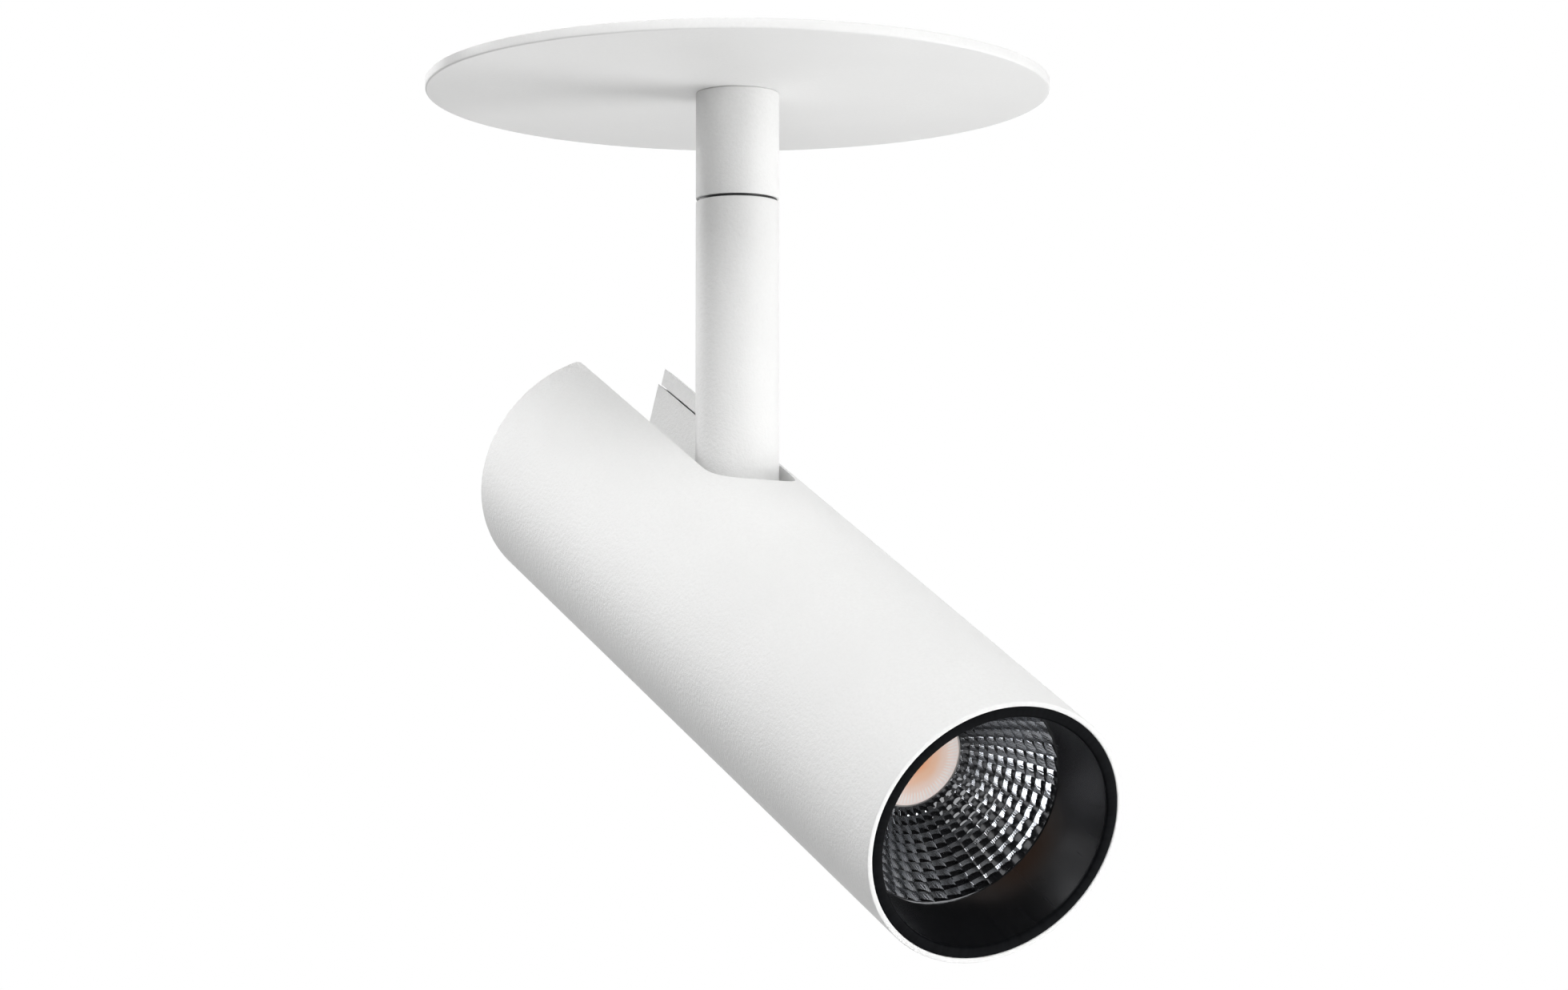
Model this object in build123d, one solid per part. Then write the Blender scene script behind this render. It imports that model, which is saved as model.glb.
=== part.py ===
"""Adjustable recessed ceiling spotlight: a flat round plate, a swivelling stem and a slotted tubular head.

Millimetres, +Z up. The origin is the centre of the plate's top face, where it meets the ceiling.
At rest the head points along -Y and dips below the horizontal. Its hinge axis runs along X.
"""

import math
import os

from build123d import *

os.makedirs("parts", exist_ok=True)

# General clearances and the one overrun used by every cut
overrun = 1.0
thread_gap = 0.05
fit_gap = 0.05
slip_gap = 0.1
hole_gap = 0.2
seat_gap = 0.3

# Ceiling plate
plate_radius = 60.0
plate_thickness = 2.0
plate_edge_round = 0.4
pocket_depth = 0.4

# Fixed neck under the plate
stem_radius = 8.0
neck_length = 20.7
neck_edge_round = 0.25
spigot_radius = 6.0
spigot_rise = 6.0
neck_washer_radius = 12.0
washer_thickness = 1.0
neck_nut_flats = 19.0
neck_nut_thickness = 4.0

# Swivel between neck and stem
swivel_washer_radius = 7.6
swivel_washer_thickness = 0.5
spindle_radius = 4.0
spindle_bore = 2.0
spindle_plug_length = 12.0
spindle_washer_radius = 7.5
spindle_spring_radius = 7.0
spindle_spring_thickness = 0.6
spindle_spring_rise = 1.4
spindle_nut_flats = 13.0
spindle_nut_thickness = 4.0
spindle_thread_spare = 1.0

# Stop that limits the swivel
pan_limit = 165.0
stop_depth_below_plate = 10.0
stop_screw_radius = 1.25
stop_tip_radius = 0.5
stop_tip_reach = 0.6
stop_groove_depth = 0.75
stop_groove_height = 2.4
stop_tip_gap = 0.15

# Stem tube and the knuckle at its foot
stem_wall = 1.5
pivot_depth = 82.6
knuckle_shoulder = 6.2
knuckle_plug_length = 8.0
knuckle_half_width = 6.5
knuckle_lead_offset = 4.6
knuckle_funnel_depth = 4.0

# Hinge between stem and head
rest_tilt = 27.6
hinge_radius = 2.5
hinge_head_radius = 3.4
hinge_head_thickness = 1.8
hinge_thread_radius = 1.5
hinge_thread_spare = 0.2
friction_washer_radius = 5.6
friction_washer_thickness = 1.4
hinge_nut_flats = 5.5
hinge_spring_thickness = 0.7
hinge_room = 0.65

# Head tube
head_radius = 25.0
head_wall = 3.0
head_ahead = 111.9
head_behind = 59.35
slot_radius = 9.4
slot_nose_back = 1.0
slot_corner_round = 1.5
mouth_rim = 1.0
mouth_edge_round = 0.2
rear_edge_chamfer = 0.3

# Channel that lines the slot
liner_wall = 2.0
liner_plate_thickness = 2.0

# Rear cap
cap_thickness = 2.0
cap_skirt_depth = 4.0
cap_skirt_wall = 1.5

# Front baffle
baffle_lip_width = 2.0
baffle_taper = 1.4
ring_section_radius = 0.6
ring_depth_behind_mouth = 7.0

# Reflector
reflector_mouth_step = 0.44
reflector_mouth_depth = 15.24
reflector_base_step = 0.26
reflector_base_depth = 30.84
reflector_wall = 1.0
reflector_flange_thickness = 1.0
reflector_bands = 10

# Light source
emitter_share = 0.4045
emitter_thickness = 0.6
board_margin = 4.0
board_thickness = 1.5
pad_thickness = 0.3
holder_margin = 3.5
holder_thickness = 1.6
holder_screw_radius = 1.25
holder_screw_head_radius = 2.2
holder_screw_head_thickness = 1.2
holder_screw_length = 6.0

# Heat sink
sink_base_thickness = 8.0
sink_core_margin = 1.29
sink_fin_count = 14
sink_fin_thickness = 1.6
sink_fin_margin = 1.0
sink_fin_set_back = 6.6
sink_screw_radius = 1.5
sink_screw_head_radius = 2.6
sink_screw_head_thickness = 2.2
sink_screw_length = 12.0
sink_screw_across = 6.0
sink_screw_room = 3.4
set_screw_radius = 1.5
set_screw_recess = 0.2
set_screw_reach = 3.0
hex_socket_flats = 1.5
hex_socket_depth = 1.2

# Leads
lead_radius = 1.4
lead_bend_radius = 7.0
lead_margin = 2.4
lead_entry_ahead = 5.0
lead_end_rise = 14.0
grommet_wall = 1.0
grommet_flange = 0.9
grommet_flange_thickness = 0.9
stem_lead_bend_gap = 1.9
stem_lead_bend_length = 14.0
knuckle_lead_overshoot = 5.0

# Mounting can above the plate
can_radius = 40.0
can_wall = 1.2
can_height = 26.0
can_flange_width = 10.8
stud_radius = 1.5
stud_inset = 5.3
stud_start_angle = 45.0
stud_count = 4
stud_rise = 4.6
stud_nut_flats = 5.5
stud_nut_thickness = 2.4
lid_thickness = 1.0
lid_skirt_depth = 3.0
lid_skirt_wall = 1.0
lid_tab_width = 9.0
lid_tab_length = 8.0
lid_screw_radius = 1.5
lid_screw_head_radius = 2.75
lid_screw_head_thickness = 1.8
lid_screw_length = 6.0
inlet_radius = 3.5
inlet_wall = 2.0
inlet_flange = 1.5
inlet_offset = 18.0

# Terminal block and cord saddle in the can
block_width = 26.0
block_depth = 9.0
block_height = 11.0
block_poles = 3
block_bore_radius = 1.7
block_screw_radius = 1.6
block_screw_sink = 1.0
block_screw_length = 2.6
block_screw_slot = 0.6
block_gap = 0.25
saddle_width = 22.0
saddle_depth = 6.0
saddle_thickness = 2.5
saddle_arch_radius = 3.4
saddle_screw_radius = 1.25
saddle_screw_head_radius = 2.3
saddle_screw_spacing = 16.0
saddle_gap = 0.7
can_lead_bend_radius = 5.6
can_lead_crest_share = 0.49
can_lead_foot_share = 0.74

# Spring arms that hold the plate against the ceiling
ear_gap = 11.0
ear_thickness = 1.2
ear_radius = 3.8
arm_pivot_clearance = 5.5
arm_pivot_rise = 11.0
arm_pin_radius = 1.25
arm_pin_head_radius = 2.2
arm_pin_head_thickness = 0.8
arm_width = 10.4
arm_cheek_thickness = 1.8
arm_cheek_radius = 2.5
arm_cheek_length = 8.0
arm_thickness = 1.2
arm_length = 34.0
arm_inner_reach = 2.8
pad_length = 10.0
pad_wall = 1.4
pad_round = 1.0
coil_radius = 1.9
coil_wire_radius = 0.4
coil_half_turns = 8
coil_pitch = 1.25
coil_leg_length = 12.0
coil_stub_length = 1.6

# Places that follow from the sizes above
underside_z = -plate_thickness
seam_z = underside_z - neck_length
stem_top_z = seam_z - swivel_washer_thickness
pivot_z = underside_z - pivot_depth
stem_bore = stem_radius - stem_wall
stem_foot_z = pivot_z + knuckle_shoulder
plug_radius = stem_bore - fit_gap
head_bore = head_radius - head_wall
mouth_bore = head_radius - mouth_rim
baffle_lip_radius = mouth_bore - baffle_lip_width
baffle_throat_radius = baffle_lip_radius - baffle_taper
reflector_mouth_radius = baffle_throat_radius - reflector_mouth_step
board_radius = head_bore - board_margin
emitter_radius = head_bore * emitter_share
holder_inner_radius = emitter_radius + holder_margin
reflector_base_radius = emitter_radius + reflector_base_step
liner_outer = slot_radius + liner_wall
hinge_end = liner_outer + hinge_head_thickness + hinge_thread_spare
pivot_above_axis = math.sqrt(head_bore**2 - hinge_end**2) - hinge_head_radius - hinge_room
liner_floor = pivot_above_axis - slot_radius
liner_under = liner_floor - liner_wall
liner_radius = head_bore - seat_gap
sink_screw_y = liner_under - sink_screw_head_radius - sink_screw_room
sink_core_radius = math.hypot(sink_screw_across, sink_screw_y) + sink_screw_radius + sink_core_margin
sink_fin_radius = head_bore - sink_fin_margin
lead_drop = board_radius - lead_margin
liner_front = liner_outer
liner_plate_front = liner_front + liner_plate_thickness
reflector_mouth = head_ahead - reflector_mouth_depth
reflector_base = head_ahead - reflector_base_depth
emitter_back = reflector_base - emitter_thickness - fit_gap
board_back = emitter_back - board_thickness
sink_front = board_back - pad_thickness
sink_base_back = sink_front - sink_base_thickness
flange_back = reflector_mouth - reflector_flange_thickness
pocket_z = -pocket_depth
flange_top_z = pocket_z + can_wall
can_top_z = pocket_z + can_height
arm_pivot_z = pocket_z + arm_pivot_rise
can_inner = can_radius - can_wall
can_flange_inner_radius = can_inner - can_flange_width
stud_circle_radius = can_inner - stud_inset
arm_pivot_out = can_radius + arm_pivot_clearance
block_offset = math.sqrt(can_inner**2 - (block_width / 2) ** 2) - block_depth / 2 - block_gap
saddle_offset = math.sqrt(can_inner**2 - (saddle_width / 2) ** 2) - saddle_depth / 2 - saddle_gap

head_frame = Pos(0, 0, pivot_z) * Rot(rest_tilt, 0, 0) * Pos(0, 0, -pivot_above_axis) * Rot(90, 0, 0)
upright = (Align.CENTER, Align.CENTER, Align.MIN)


def rod(radius, low, high, x=0.0, y=0.0):
    """Round bar along Z between two heights."""
    return Pos(x, y, low) * Cylinder(radius, high - low, align=upright)


def ring(outer, inner, low, high, x=0.0, y=0.0):
    """Round tube or washer along Z."""
    return rod(outer, low, high, x, y) - rod(inner, low - overrun, high + overrun, x, y)


def block(x_span, y_span, z_span):
    """Box given by its lowest and highest place along each axis."""
    size = [span[1] - span[0] for span in (x_span, y_span, z_span)]
    corner = Pos(x_span[0], y_span[0], z_span[0])
    return corner * Box(*size, align=(Align.MIN, Align.MIN, Align.MIN))


def across(radius, left, right, y=0.0, z=0.0):
    """Round bar along X between two places."""
    return Pos(left, y, z) * Rot(0, 90, 0) * Cylinder(radius, right - left, align=upright)


def along_y(radius, back, front, x=0.0, z=0.0):
    """Round bar along Y between two places."""
    return Pos(x, back, z) * Rot(-90, 0, 0) * Cylinder(radius, front - back, align=upright)


def hex_bar(flats, low, high, x=0.0, y=0.0):
    """Six-sided bar along Z, given across its flats."""
    face = RegularPolygon(flats / math.sqrt(3), 6)
    return Pos(x, y, low) * extrude(face, high - low)


def hex_nut(flats, bore, low, high, x=0.0, y=0.0):
    """Six-sided nut along Z."""
    return hex_bar(flats, low, high, x, y) - rod(bore, low - overrun, high + overrun, x, y)


def turned(points):
    """Solid turned about Z from an outline of (radius, height) points."""
    face = make_face(Polyline(*[(radius, 0, height) for radius, height in points], close=True))
    return revolve(face, Axis.Z)


def screw(shank, head, low, seat, head_thickness, x=0.0, y=0.0):
    """Pan-head screw along Z: shank from low to seat, head above the seat."""
    drive = hex_bar(shank, seat + head_thickness / 2, seat + head_thickness + overrun, x, y)
    return rod(shank, low, seat, x, y) + rod(head, seat, seat + head_thickness, x, y) - drive


def channel(radius, floor, rear, top, nose=0.0):
    """Upright pocket with a round front end about the stem, open at the rear, in the head's frame."""
    front = Pos(0, floor, nose) * Rot(-90, 0, 0) * Cylinder(radius, top - floor, align=upright)
    return front + block((-radius, radius), (floor, top), (rear, nose))


def rear_corner(side):
    """Waste outside the rounded corner where one side of the slot meets the tube's rear end."""
    corner_x = side * (slot_radius + slot_corner_round)
    top = head_radius + overrun
    rear_span = (-head_behind - overrun, slot_corner_round - head_behind)
    waste = block(sorted((side * slot_radius, corner_x)), (liner_floor, top), rear_span)
    return waste - along_y(slot_corner_round, liner_floor - overrun, top + overrun, corner_x, rear_span[1])


def save(name, shape, frame=None):
    """Write one sub-part to its own file."""
    placed = frame * shape if frame else shape
    solids = placed.solids()
    whole = solids[0] if len(solids) == 1 else Compound(children=list(solids))
    export_step(whole, f"parts/{name}.step")


def around(count, radius, start=0.0):
    """Places evenly spread on a circle, as (x, y)."""
    angles = [math.radians(start) + math.tau * step / count for step in range(count)]
    return [(radius * math.cos(angle), radius * math.sin(angle)) for angle in angles]


def group(shapes):
    """Several separate solids kept together."""
    return Compound(children=[solid for shape in shapes for solid in shape.solids()])


# Ceiling plate with its welded studs
stud_places = around(stud_count, stud_circle_radius, start=stud_start_angle)
plate = rod(plate_radius, underside_z, 0)
plate = fillet(plate.edges().filter_by(GeomType.CIRCLE).group_by(Axis.Z)[0], plate_edge_round)
plate -= rod(can_radius + slip_gap, pocket_z, overrun)
plate -= rod(spigot_radius + slip_gap, underside_z - overrun, overrun)
for x, y in stud_places:
    plate += rod(stud_radius, pocket_z, pocket_z + stud_rise, x, y)
save("ceiling_plate", plate)

# Neck: fixed length of stem with a threaded spigot through the plate
stop_z = underside_z - stop_depth_below_plate
neck = rod(stem_radius, seam_z, underside_z)
neck = fillet(neck.edges().filter_by(GeomType.CIRCLE).group_by(Axis.Z)[0], neck_edge_round)
neck += rod(spigot_radius, underside_z, spigot_rise)
neck -= rod(spindle_radius + fit_gap, seam_z - overrun, spigot_rise + overrun)
neck -= along_y(stop_screw_radius + thread_gap, 0, stem_radius + overrun, z=stop_z)
save("stem_neck", neck)

# Washer and nut that hold the neck to the plate
washer_top = pocket_z + washer_thickness
save("neck_washer", ring(neck_washer_radius, spigot_radius + hole_gap, pocket_z, washer_top))
nut_top = washer_top + neck_nut_thickness
save("neck_nut", hex_nut(neck_nut_flats, spigot_radius + thread_gap, washer_top, nut_top))

# Dog-point screw that stops the swivel
tip_start = spindle_radius - stop_tip_reach
stop_screw = along_y(stop_tip_radius, tip_start, spindle_radius + stop_tip_reach, z=stop_z)
stop_screw += along_y(stop_screw_radius, spindle_radius + fit_gap, stem_radius - set_screw_recess, z=stop_z)
socket = Pos(0, stem_radius - hex_socket_depth, stop_z) * Rot(-90, 0, 0)
stop_screw -= socket * hex_bar(hex_socket_flats, 0, hex_socket_depth + overrun)
save("pan_stop_screw", stop_screw)

# Dark washer in the seam
save("swivel_washer", ring(swivel_washer_radius, spindle_radius + fit_gap, stem_top_z, seam_z))

# Hollow spindle that turns in the neck, with its plug in the stem tube
spindle_seat = spigot_rise + washer_thickness + spindle_spring_rise
spindle_top = spindle_seat + spindle_nut_thickness + spindle_thread_spare
spindle = rod(spindle_radius, stem_top_z, spindle_top)
spindle += rod(plug_radius, stem_top_z - spindle_plug_length, stem_top_z)
groove_floor_radius = spindle_radius - stop_groove_depth
groove_half_height = stop_groove_height / 2
groove = ring(
    spindle_radius + overrun,
    groove_floor_radius,
    stop_z - groove_half_height,
    stop_z + groove_half_height,
)
tip_half_angle = math.degrees(math.asin((stop_tip_radius + stop_tip_gap) / groove_floor_radius))
tooth_half_angle = 180.0 - pan_limit - tip_half_angle
tooth_half_width = spindle_radius * math.tan(math.radians(tooth_half_angle))
tooth = make_face(
    Polyline(
        (0, 0),
        (-tooth_half_width, -spindle_radius),
        (-tooth_half_width, -spindle_radius - overrun),
        (tooth_half_width, -spindle_radius - overrun),
        (tooth_half_width, -spindle_radius),
        close=True,
    )
)
groove -= Pos(0, 0, stop_z - stop_groove_height) * extrude(tooth, 2 * stop_groove_height)
spindle -= groove
spindle -= rod(spindle_bore, stem_top_z - spindle_plug_length - overrun, spindle_top + overrun)
save("swivel_spindle", spindle)

# Washer, dished spring and nut that give the swivel its friction
spindle_washer_top = spigot_rise + washer_thickness
spindle_hole = spindle_radius + hole_gap
save("spindle_washer", ring(spindle_washer_radius, spindle_hole, spigot_rise, spindle_washer_top))
spring_outline = [
    (spindle_spring_radius, spindle_washer_top),
    (spindle_spring_radius, spindle_washer_top + spindle_spring_thickness),
    (spindle_hole, spindle_seat),
    (spindle_hole, spindle_seat - spindle_spring_thickness),
]
save("spindle_spring", turned(spring_outline))
spindle_nut = hex_nut(
    spindle_nut_flats, spindle_radius + thread_gap, spindle_seat, spindle_seat + spindle_nut_thickness
)
save("spindle_nut", spindle_nut)

# Stem tube
stem = ring(stem_radius, stem_bore, stem_foot_z, stem_top_z)
top_rims = stem.edges().filter_by(GeomType.CIRCLE).group_by(Axis.Z)[-1]
stem = fillet(top_rims.sort_by(Edge.length)[-1:], neck_edge_round)
save("stem_tube", stem)

# Knuckle at the stem's foot: round end, two flats, a hinge bore and a lead bore beside it
knuckle = rod(stem_radius, pivot_z, stem_foot_z)
knuckle += Pos(0, 0, pivot_z) * Rot(0, 90, 0) * Sphere(stem_radius)
flat_span = (-knuckle_half_width, knuckle_half_width)
knuckle &= block(flat_span, (-stem_radius, stem_radius), (pivot_z - stem_radius, stem_foot_z))
plug_top = stem_foot_z + knuckle_plug_length
knuckle += rod(plug_radius, stem_foot_z, plug_top)
knuckle_reach = knuckle_half_width + overrun
knuckle -= across(hinge_radius + fit_gap, -knuckle_reach, knuckle_reach, z=pivot_z)
lead_bore = lead_radius + seat_gap
knuckle -= rod(lead_bore, pivot_z - stem_radius - overrun, plug_top + overrun, y=-knuckle_lead_offset)
funnel_low = plug_top - knuckle_funnel_depth
funnel_high = plug_top + overrun
knuckle -= block((-lead_bore, lead_bore), (-knuckle_lead_offset, lead_bore), (funnel_low, funnel_high))
save("stem_knuckle", knuckle)

# Lead through the stem, bent aside at its foot to pass the hinge
bend_top = stem_top_z - spindle_plug_length - stem_lead_bend_gap
lead_path = FilletPolyline(
    (0, 0, lead_end_rise),
    (0, 0, bend_top),
    (0, -knuckle_lead_offset, bend_top - stem_lead_bend_length),
    (0, -knuckle_lead_offset, pivot_z - knuckle_lead_overshoot),
    radius=lead_bend_radius,
)
stem_lead = sweep(Pos(0, 0, lead_end_rise) * Circle(lead_radius), path=lead_path)
save("stem_lead", stem_lead)

# Head tube: slotted along its top, counterbored at the mouth
housing = rod(head_radius, -head_behind, head_ahead)
outer_edges = housing.edges().filter_by(GeomType.CIRCLE).group_by(Axis.Z)
housing = fillet(outer_edges[-1], mouth_edge_round)
housing = chamfer(housing.edges().filter_by(GeomType.CIRCLE).group_by(Axis.Z)[0], rear_edge_chamfer)
housing -= rod(head_bore, -head_behind - overrun, head_ahead + overrun)
housing -= rod(mouth_bore, flange_back, head_ahead + overrun)
housing -= channel(
    slot_radius, liner_floor, -head_behind - overrun, head_radius + overrun, -slot_nose_back
)
for side in (-1, 1):
    housing -= rear_corner(side)
set_z = (sink_front + sink_base_back) / 2
housing -= across(set_screw_radius + thread_gap, 0, head_radius + overrun, z=set_z)
housing -= along_y(set_screw_radius + thread_gap, -head_radius - overrun, 0, z=set_z)
save("head_housing", housing, head_frame)

# Channel that lines the slot, closed by a round plate in front
liner = block((-liner_outer, liner_outer), (liner_under, head_radius), (-head_behind, liner_front))
liner += rod(liner_radius, liner_front, liner_plate_front)
liner &= rod(liner_radius, -head_behind - overrun, liner_plate_front + overrun)
liner -= channel(slot_radius, liner_floor, -head_behind - overrun, head_radius + overrun)
liner_reach = liner_outer + overrun
liner -= across(hinge_radius + fit_gap, -liner_reach, liner_reach, y=pivot_above_axis)
liner -= across(friction_washer_radius + seat_gap, -slot_radius, slot_radius, y=pivot_above_axis)
grommet_radius = lead_radius + slip_gap + grommet_wall
liner -= along_y(grommet_radius, liner_under - overrun, liner_floor + overrun, z=lead_entry_ahead)
liner -= rod(lead_bore, liner_front - overrun, liner_plate_front + overrun, y=-lead_drop)
sink_screw_places = [(side * sink_screw_across, sink_screw_y) for side in (-1, 1)]
for x, y in sink_screw_places:
    liner -= rod(sink_screw_radius + hole_gap, liner_front - overrun, liner_plate_front + overrun, x, y)
save("slot_liner", liner, head_frame)

# Soft grommet where the lead enters the head
flange_radius = grommet_radius + grommet_flange
grommet = along_y(grommet_radius - fit_gap, liner_under, liner_floor, z=lead_entry_ahead)
grommet += along_y(flange_radius, liner_floor, liner_floor + grommet_flange_thickness, z=lead_entry_ahead)
grommet += along_y(flange_radius, liner_under - grommet_flange_thickness, liner_under, z=lead_entry_ahead)
grommet_reach = grommet_flange_thickness + overrun
grommet -= along_y(
    lead_radius + slip_gap, liner_under - grommet_reach, liner_floor + grommet_reach, z=lead_entry_ahead
)
save("lead_grommet", grommet, head_frame)

# Hinge pin with its nut, and the washers each side of the knuckle
pin = across(hinge_radius, -liner_outer, liner_outer, y=pivot_above_axis)
pin += across(hinge_head_radius, -liner_outer - hinge_head_thickness, -liner_outer, y=pivot_above_axis)
pin += across(hinge_thread_radius, liner_outer, hinge_end, y=pivot_above_axis)
pin -= Pos(-liner_outer - hinge_head_thickness, pivot_above_axis, 0) * Rot(0, 90, 0) * hex_bar(
    hinge_radius, -overrun, hinge_head_thickness / 2
)
save("hinge_pin", pin, head_frame)
nut_place = Pos(liner_outer, pivot_above_axis, 0) * Rot(0, 90, 0)
hinge_nut = hex_nut(hinge_nut_flats, hinge_thread_radius + thread_gap, 0, hinge_head_thickness)
save("hinge_nut", nut_place * hinge_nut, head_frame)
washer_end = knuckle_half_width + friction_washer_thickness
hinge_bore = hinge_radius + hole_gap
friction_washers = [
    Pos(0, pivot_above_axis, 0) * Rot(0, side * 90, 0)
    * ring(friction_washer_radius, hinge_bore, knuckle_half_width, washer_end)
    for side in (-1, 1)
]
save("friction_washers", group(friction_washers), head_frame)
dish = [
    (friction_washer_radius, washer_end),
    (friction_washer_radius, washer_end + hinge_spring_thickness),
    (hinge_bore, slot_radius),
    (hinge_bore, slot_radius - hinge_spring_thickness),
]
dished_springs = [Pos(0, pivot_above_axis, 0) * Rot(0, side * 90, 0) * turned(dish) for side in (-1, 1)]
save("hinge_springs", group(dished_springs), head_frame)

# Rear cap round the foot of the channel
cap_radius = head_bore - slip_gap
cap = rod(cap_radius, -head_behind, cap_thickness - head_behind)
skirt_end = cap_thickness + cap_skirt_depth - head_behind
cap += ring(cap_radius, cap_radius - cap_skirt_wall, cap_thickness - head_behind, skirt_end)
notch_half = liner_outer + slip_gap
notch_floor = liner_under - slip_gap
notch_depth_span = (-head_behind - overrun, skirt_end + overrun)
cap -= block((-notch_half, notch_half), (notch_floor, head_bore + overrun), notch_depth_span)
save("rear_cap", cap, head_frame)

# Finned heat sink
sink = rod(head_bore - hole_gap, sink_base_back, sink_front)
sink += rod(sink_core_radius, liner_plate_front, sink_base_back)
fin_back = liner_plate_front + sink_fin_set_back
fin_half = sink_fin_thickness / 2
fin = block((sink_core_radius - fin_half, sink_fin_radius), (-fin_half, fin_half), (fin_back, sink_base_back))
for step in range(sink_fin_count):
    sink += Rot(0, 0, 360.0 * step / sink_fin_count) * fin
for x, y in sink_screw_places:
    sink -= rod(
        sink_screw_radius + thread_gap, liner_plate_front - overrun, liner_front + sink_screw_length, x, y
    )
sink -= rod(lead_bore, liner_plate_front - overrun, sink_front + overrun, y=-lead_drop)
set_end = head_radius - set_screw_recess
set_start = head_bore - set_screw_reach
sink -= across(set_screw_radius + thread_gap, set_start, head_bore + overrun, z=set_z)
sink -= along_y(set_screw_radius + thread_gap, -head_bore - overrun, -set_start, z=set_z)
holder_radius = (holder_inner_radius + board_radius) / 2
holder_screw_places = around(2, holder_radius)
holder_front = emitter_back + holder_thickness
holder_screw_end = holder_front - holder_screw_length
for x, y in holder_screw_places:
    sink -= rod(holder_screw_radius + thread_gap, holder_screw_end, sink_front + overrun, x, y)
save("heat_sink", sink, head_frame)

# Screws from the channel's plate into the heat sink
sink_screws = [
    Rot(0, 180, 0)
    * screw(
        sink_screw_radius,
        sink_screw_head_radius,
        thread_gap - liner_front - sink_screw_length,
        -liner_front,
        sink_screw_head_thickness,
        x,
        y,
    )
    for x, y in sink_screw_places
]
save("heat_sink_screws", group(sink_screws), head_frame)

# Set screws that fix the heat sink in the tube
set_screw = rod(set_screw_radius, set_start, set_end)
set_screw -= hex_bar(hex_socket_flats, set_end - hex_socket_depth, set_end + overrun)
set_screws = [
    Pos(0, 0, set_z) * Rot(0, 90, 0) * set_screw,
    Pos(0, 0, set_z) * Rot(90, 0, 0) * set_screw,
]
save("housing_set_screws", group(set_screws), head_frame)

# Thermal pad, board, emitter and holder
pad = rod(board_radius, sink_front, board_back)
pad -= rod(lead_bore, sink_front - overrun, board_back + overrun, y=-lead_drop)
board = rod(board_radius, board_back, emitter_back)
holder = ring(board_radius, holder_inner_radius, emitter_back, holder_front)
for x, y in holder_screw_places:
    drill = rod(holder_screw_radius + slip_gap, sink_front - overrun, holder_front + overrun, x, y)
    pad -= drill
    board -= drill
    holder -= drill
save("thermal_pad", pad, head_frame)
save("led_board", board, head_frame)
save("led_emitter", rod(emitter_radius, emitter_back, emitter_back + emitter_thickness), head_frame)
save("led_holder", holder, head_frame)
holder_screws = [
    screw(
        holder_screw_radius,
        holder_screw_head_radius,
        holder_screw_end + thread_gap,
        holder_front,
        holder_screw_head_thickness,
        x,
        y,
    )
    for x, y in holder_screw_places
]
save("led_holder_screws", group(holder_screws), head_frame)


def reflector_radius(share):
    """Radius of the reflecting bowl, a paraboloid, at a share of its depth."""
    base, mouth = reflector_base_radius**2, reflector_mouth_radius**2
    return math.sqrt(base + (mouth - base) * share)


# Reflector: banded bowl with a flange that the baffle clamps
band_shares = [step / reflector_bands for step in range(reflector_bands + 1)]
bowl_depth = reflector_mouth - reflector_base
bowl = [(reflector_radius(share), reflector_base + bowl_depth * share) for share in band_shares]
flange_edge = mouth_bore - slip_gap
back_top = flange_back - reflector_wall
back = [(radius + reflector_wall, height) for radius, height in bowl if height < back_top]
reflector_outline = bowl + [
    (flange_edge, reflector_mouth),
    (flange_edge, flange_back),
    (reflector_mouth_radius + reflector_wall, flange_back),
]
save("reflector", turned(reflector_outline + back[::-1]), head_frame)

# Black baffle with a flat lip, and the ring that grips it in the mouth
baffle_outer = mouth_bore - fit_gap
baffle = turned(
    [
        (baffle_outer, reflector_mouth),
        (baffle_outer, head_ahead),
        (baffle_lip_radius, head_ahead),
        (baffle_throat_radius, reflector_mouth),
    ]
)
ring_z = head_ahead - ring_depth_behind_mouth
ring_centre = mouth_bore - fit_gap - ring_section_radius
groove_floor = ring_centre - ring_section_radius - fit_gap
groove_half = ring_section_radius + slip_gap
baffle -= ring(baffle_outer + overrun, groove_floor, ring_z - groove_half, ring_z + groove_half)
save("front_baffle", baffle, head_frame)
save("baffle_ring", Pos(0, 0, ring_z) * Torus(ring_centre, ring_section_radius), head_frame)

# Lead inside the head, from the grommet to the board
bend_start = lead_bend_radius - lead_drop
bend_end = lead_entry_ahead + lead_bend_radius
bend_run = lead_bend_radius * math.sin(math.radians(45))
bend_middle = (0, bend_start - bend_run, bend_end - bend_run)
head_path = Wire(
    [
        Edge.make_line((0, liner_floor, lead_entry_ahead), (0, bend_start, lead_entry_ahead)),
        Edge.make_three_point_arc(
            (0, bend_start, lead_entry_ahead), bend_middle, (0, -lead_drop, bend_end)
        ),
        Edge.make_line((0, -lead_drop, bend_end), (0, -lead_drop, board_back)),
    ]
)
lead_face = Pos(0, liner_floor, lead_entry_ahead) * Rot(90, 0, 0) * Circle(lead_radius)
save("head_lead", sweep(lead_face, path=head_path), head_frame)

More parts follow.
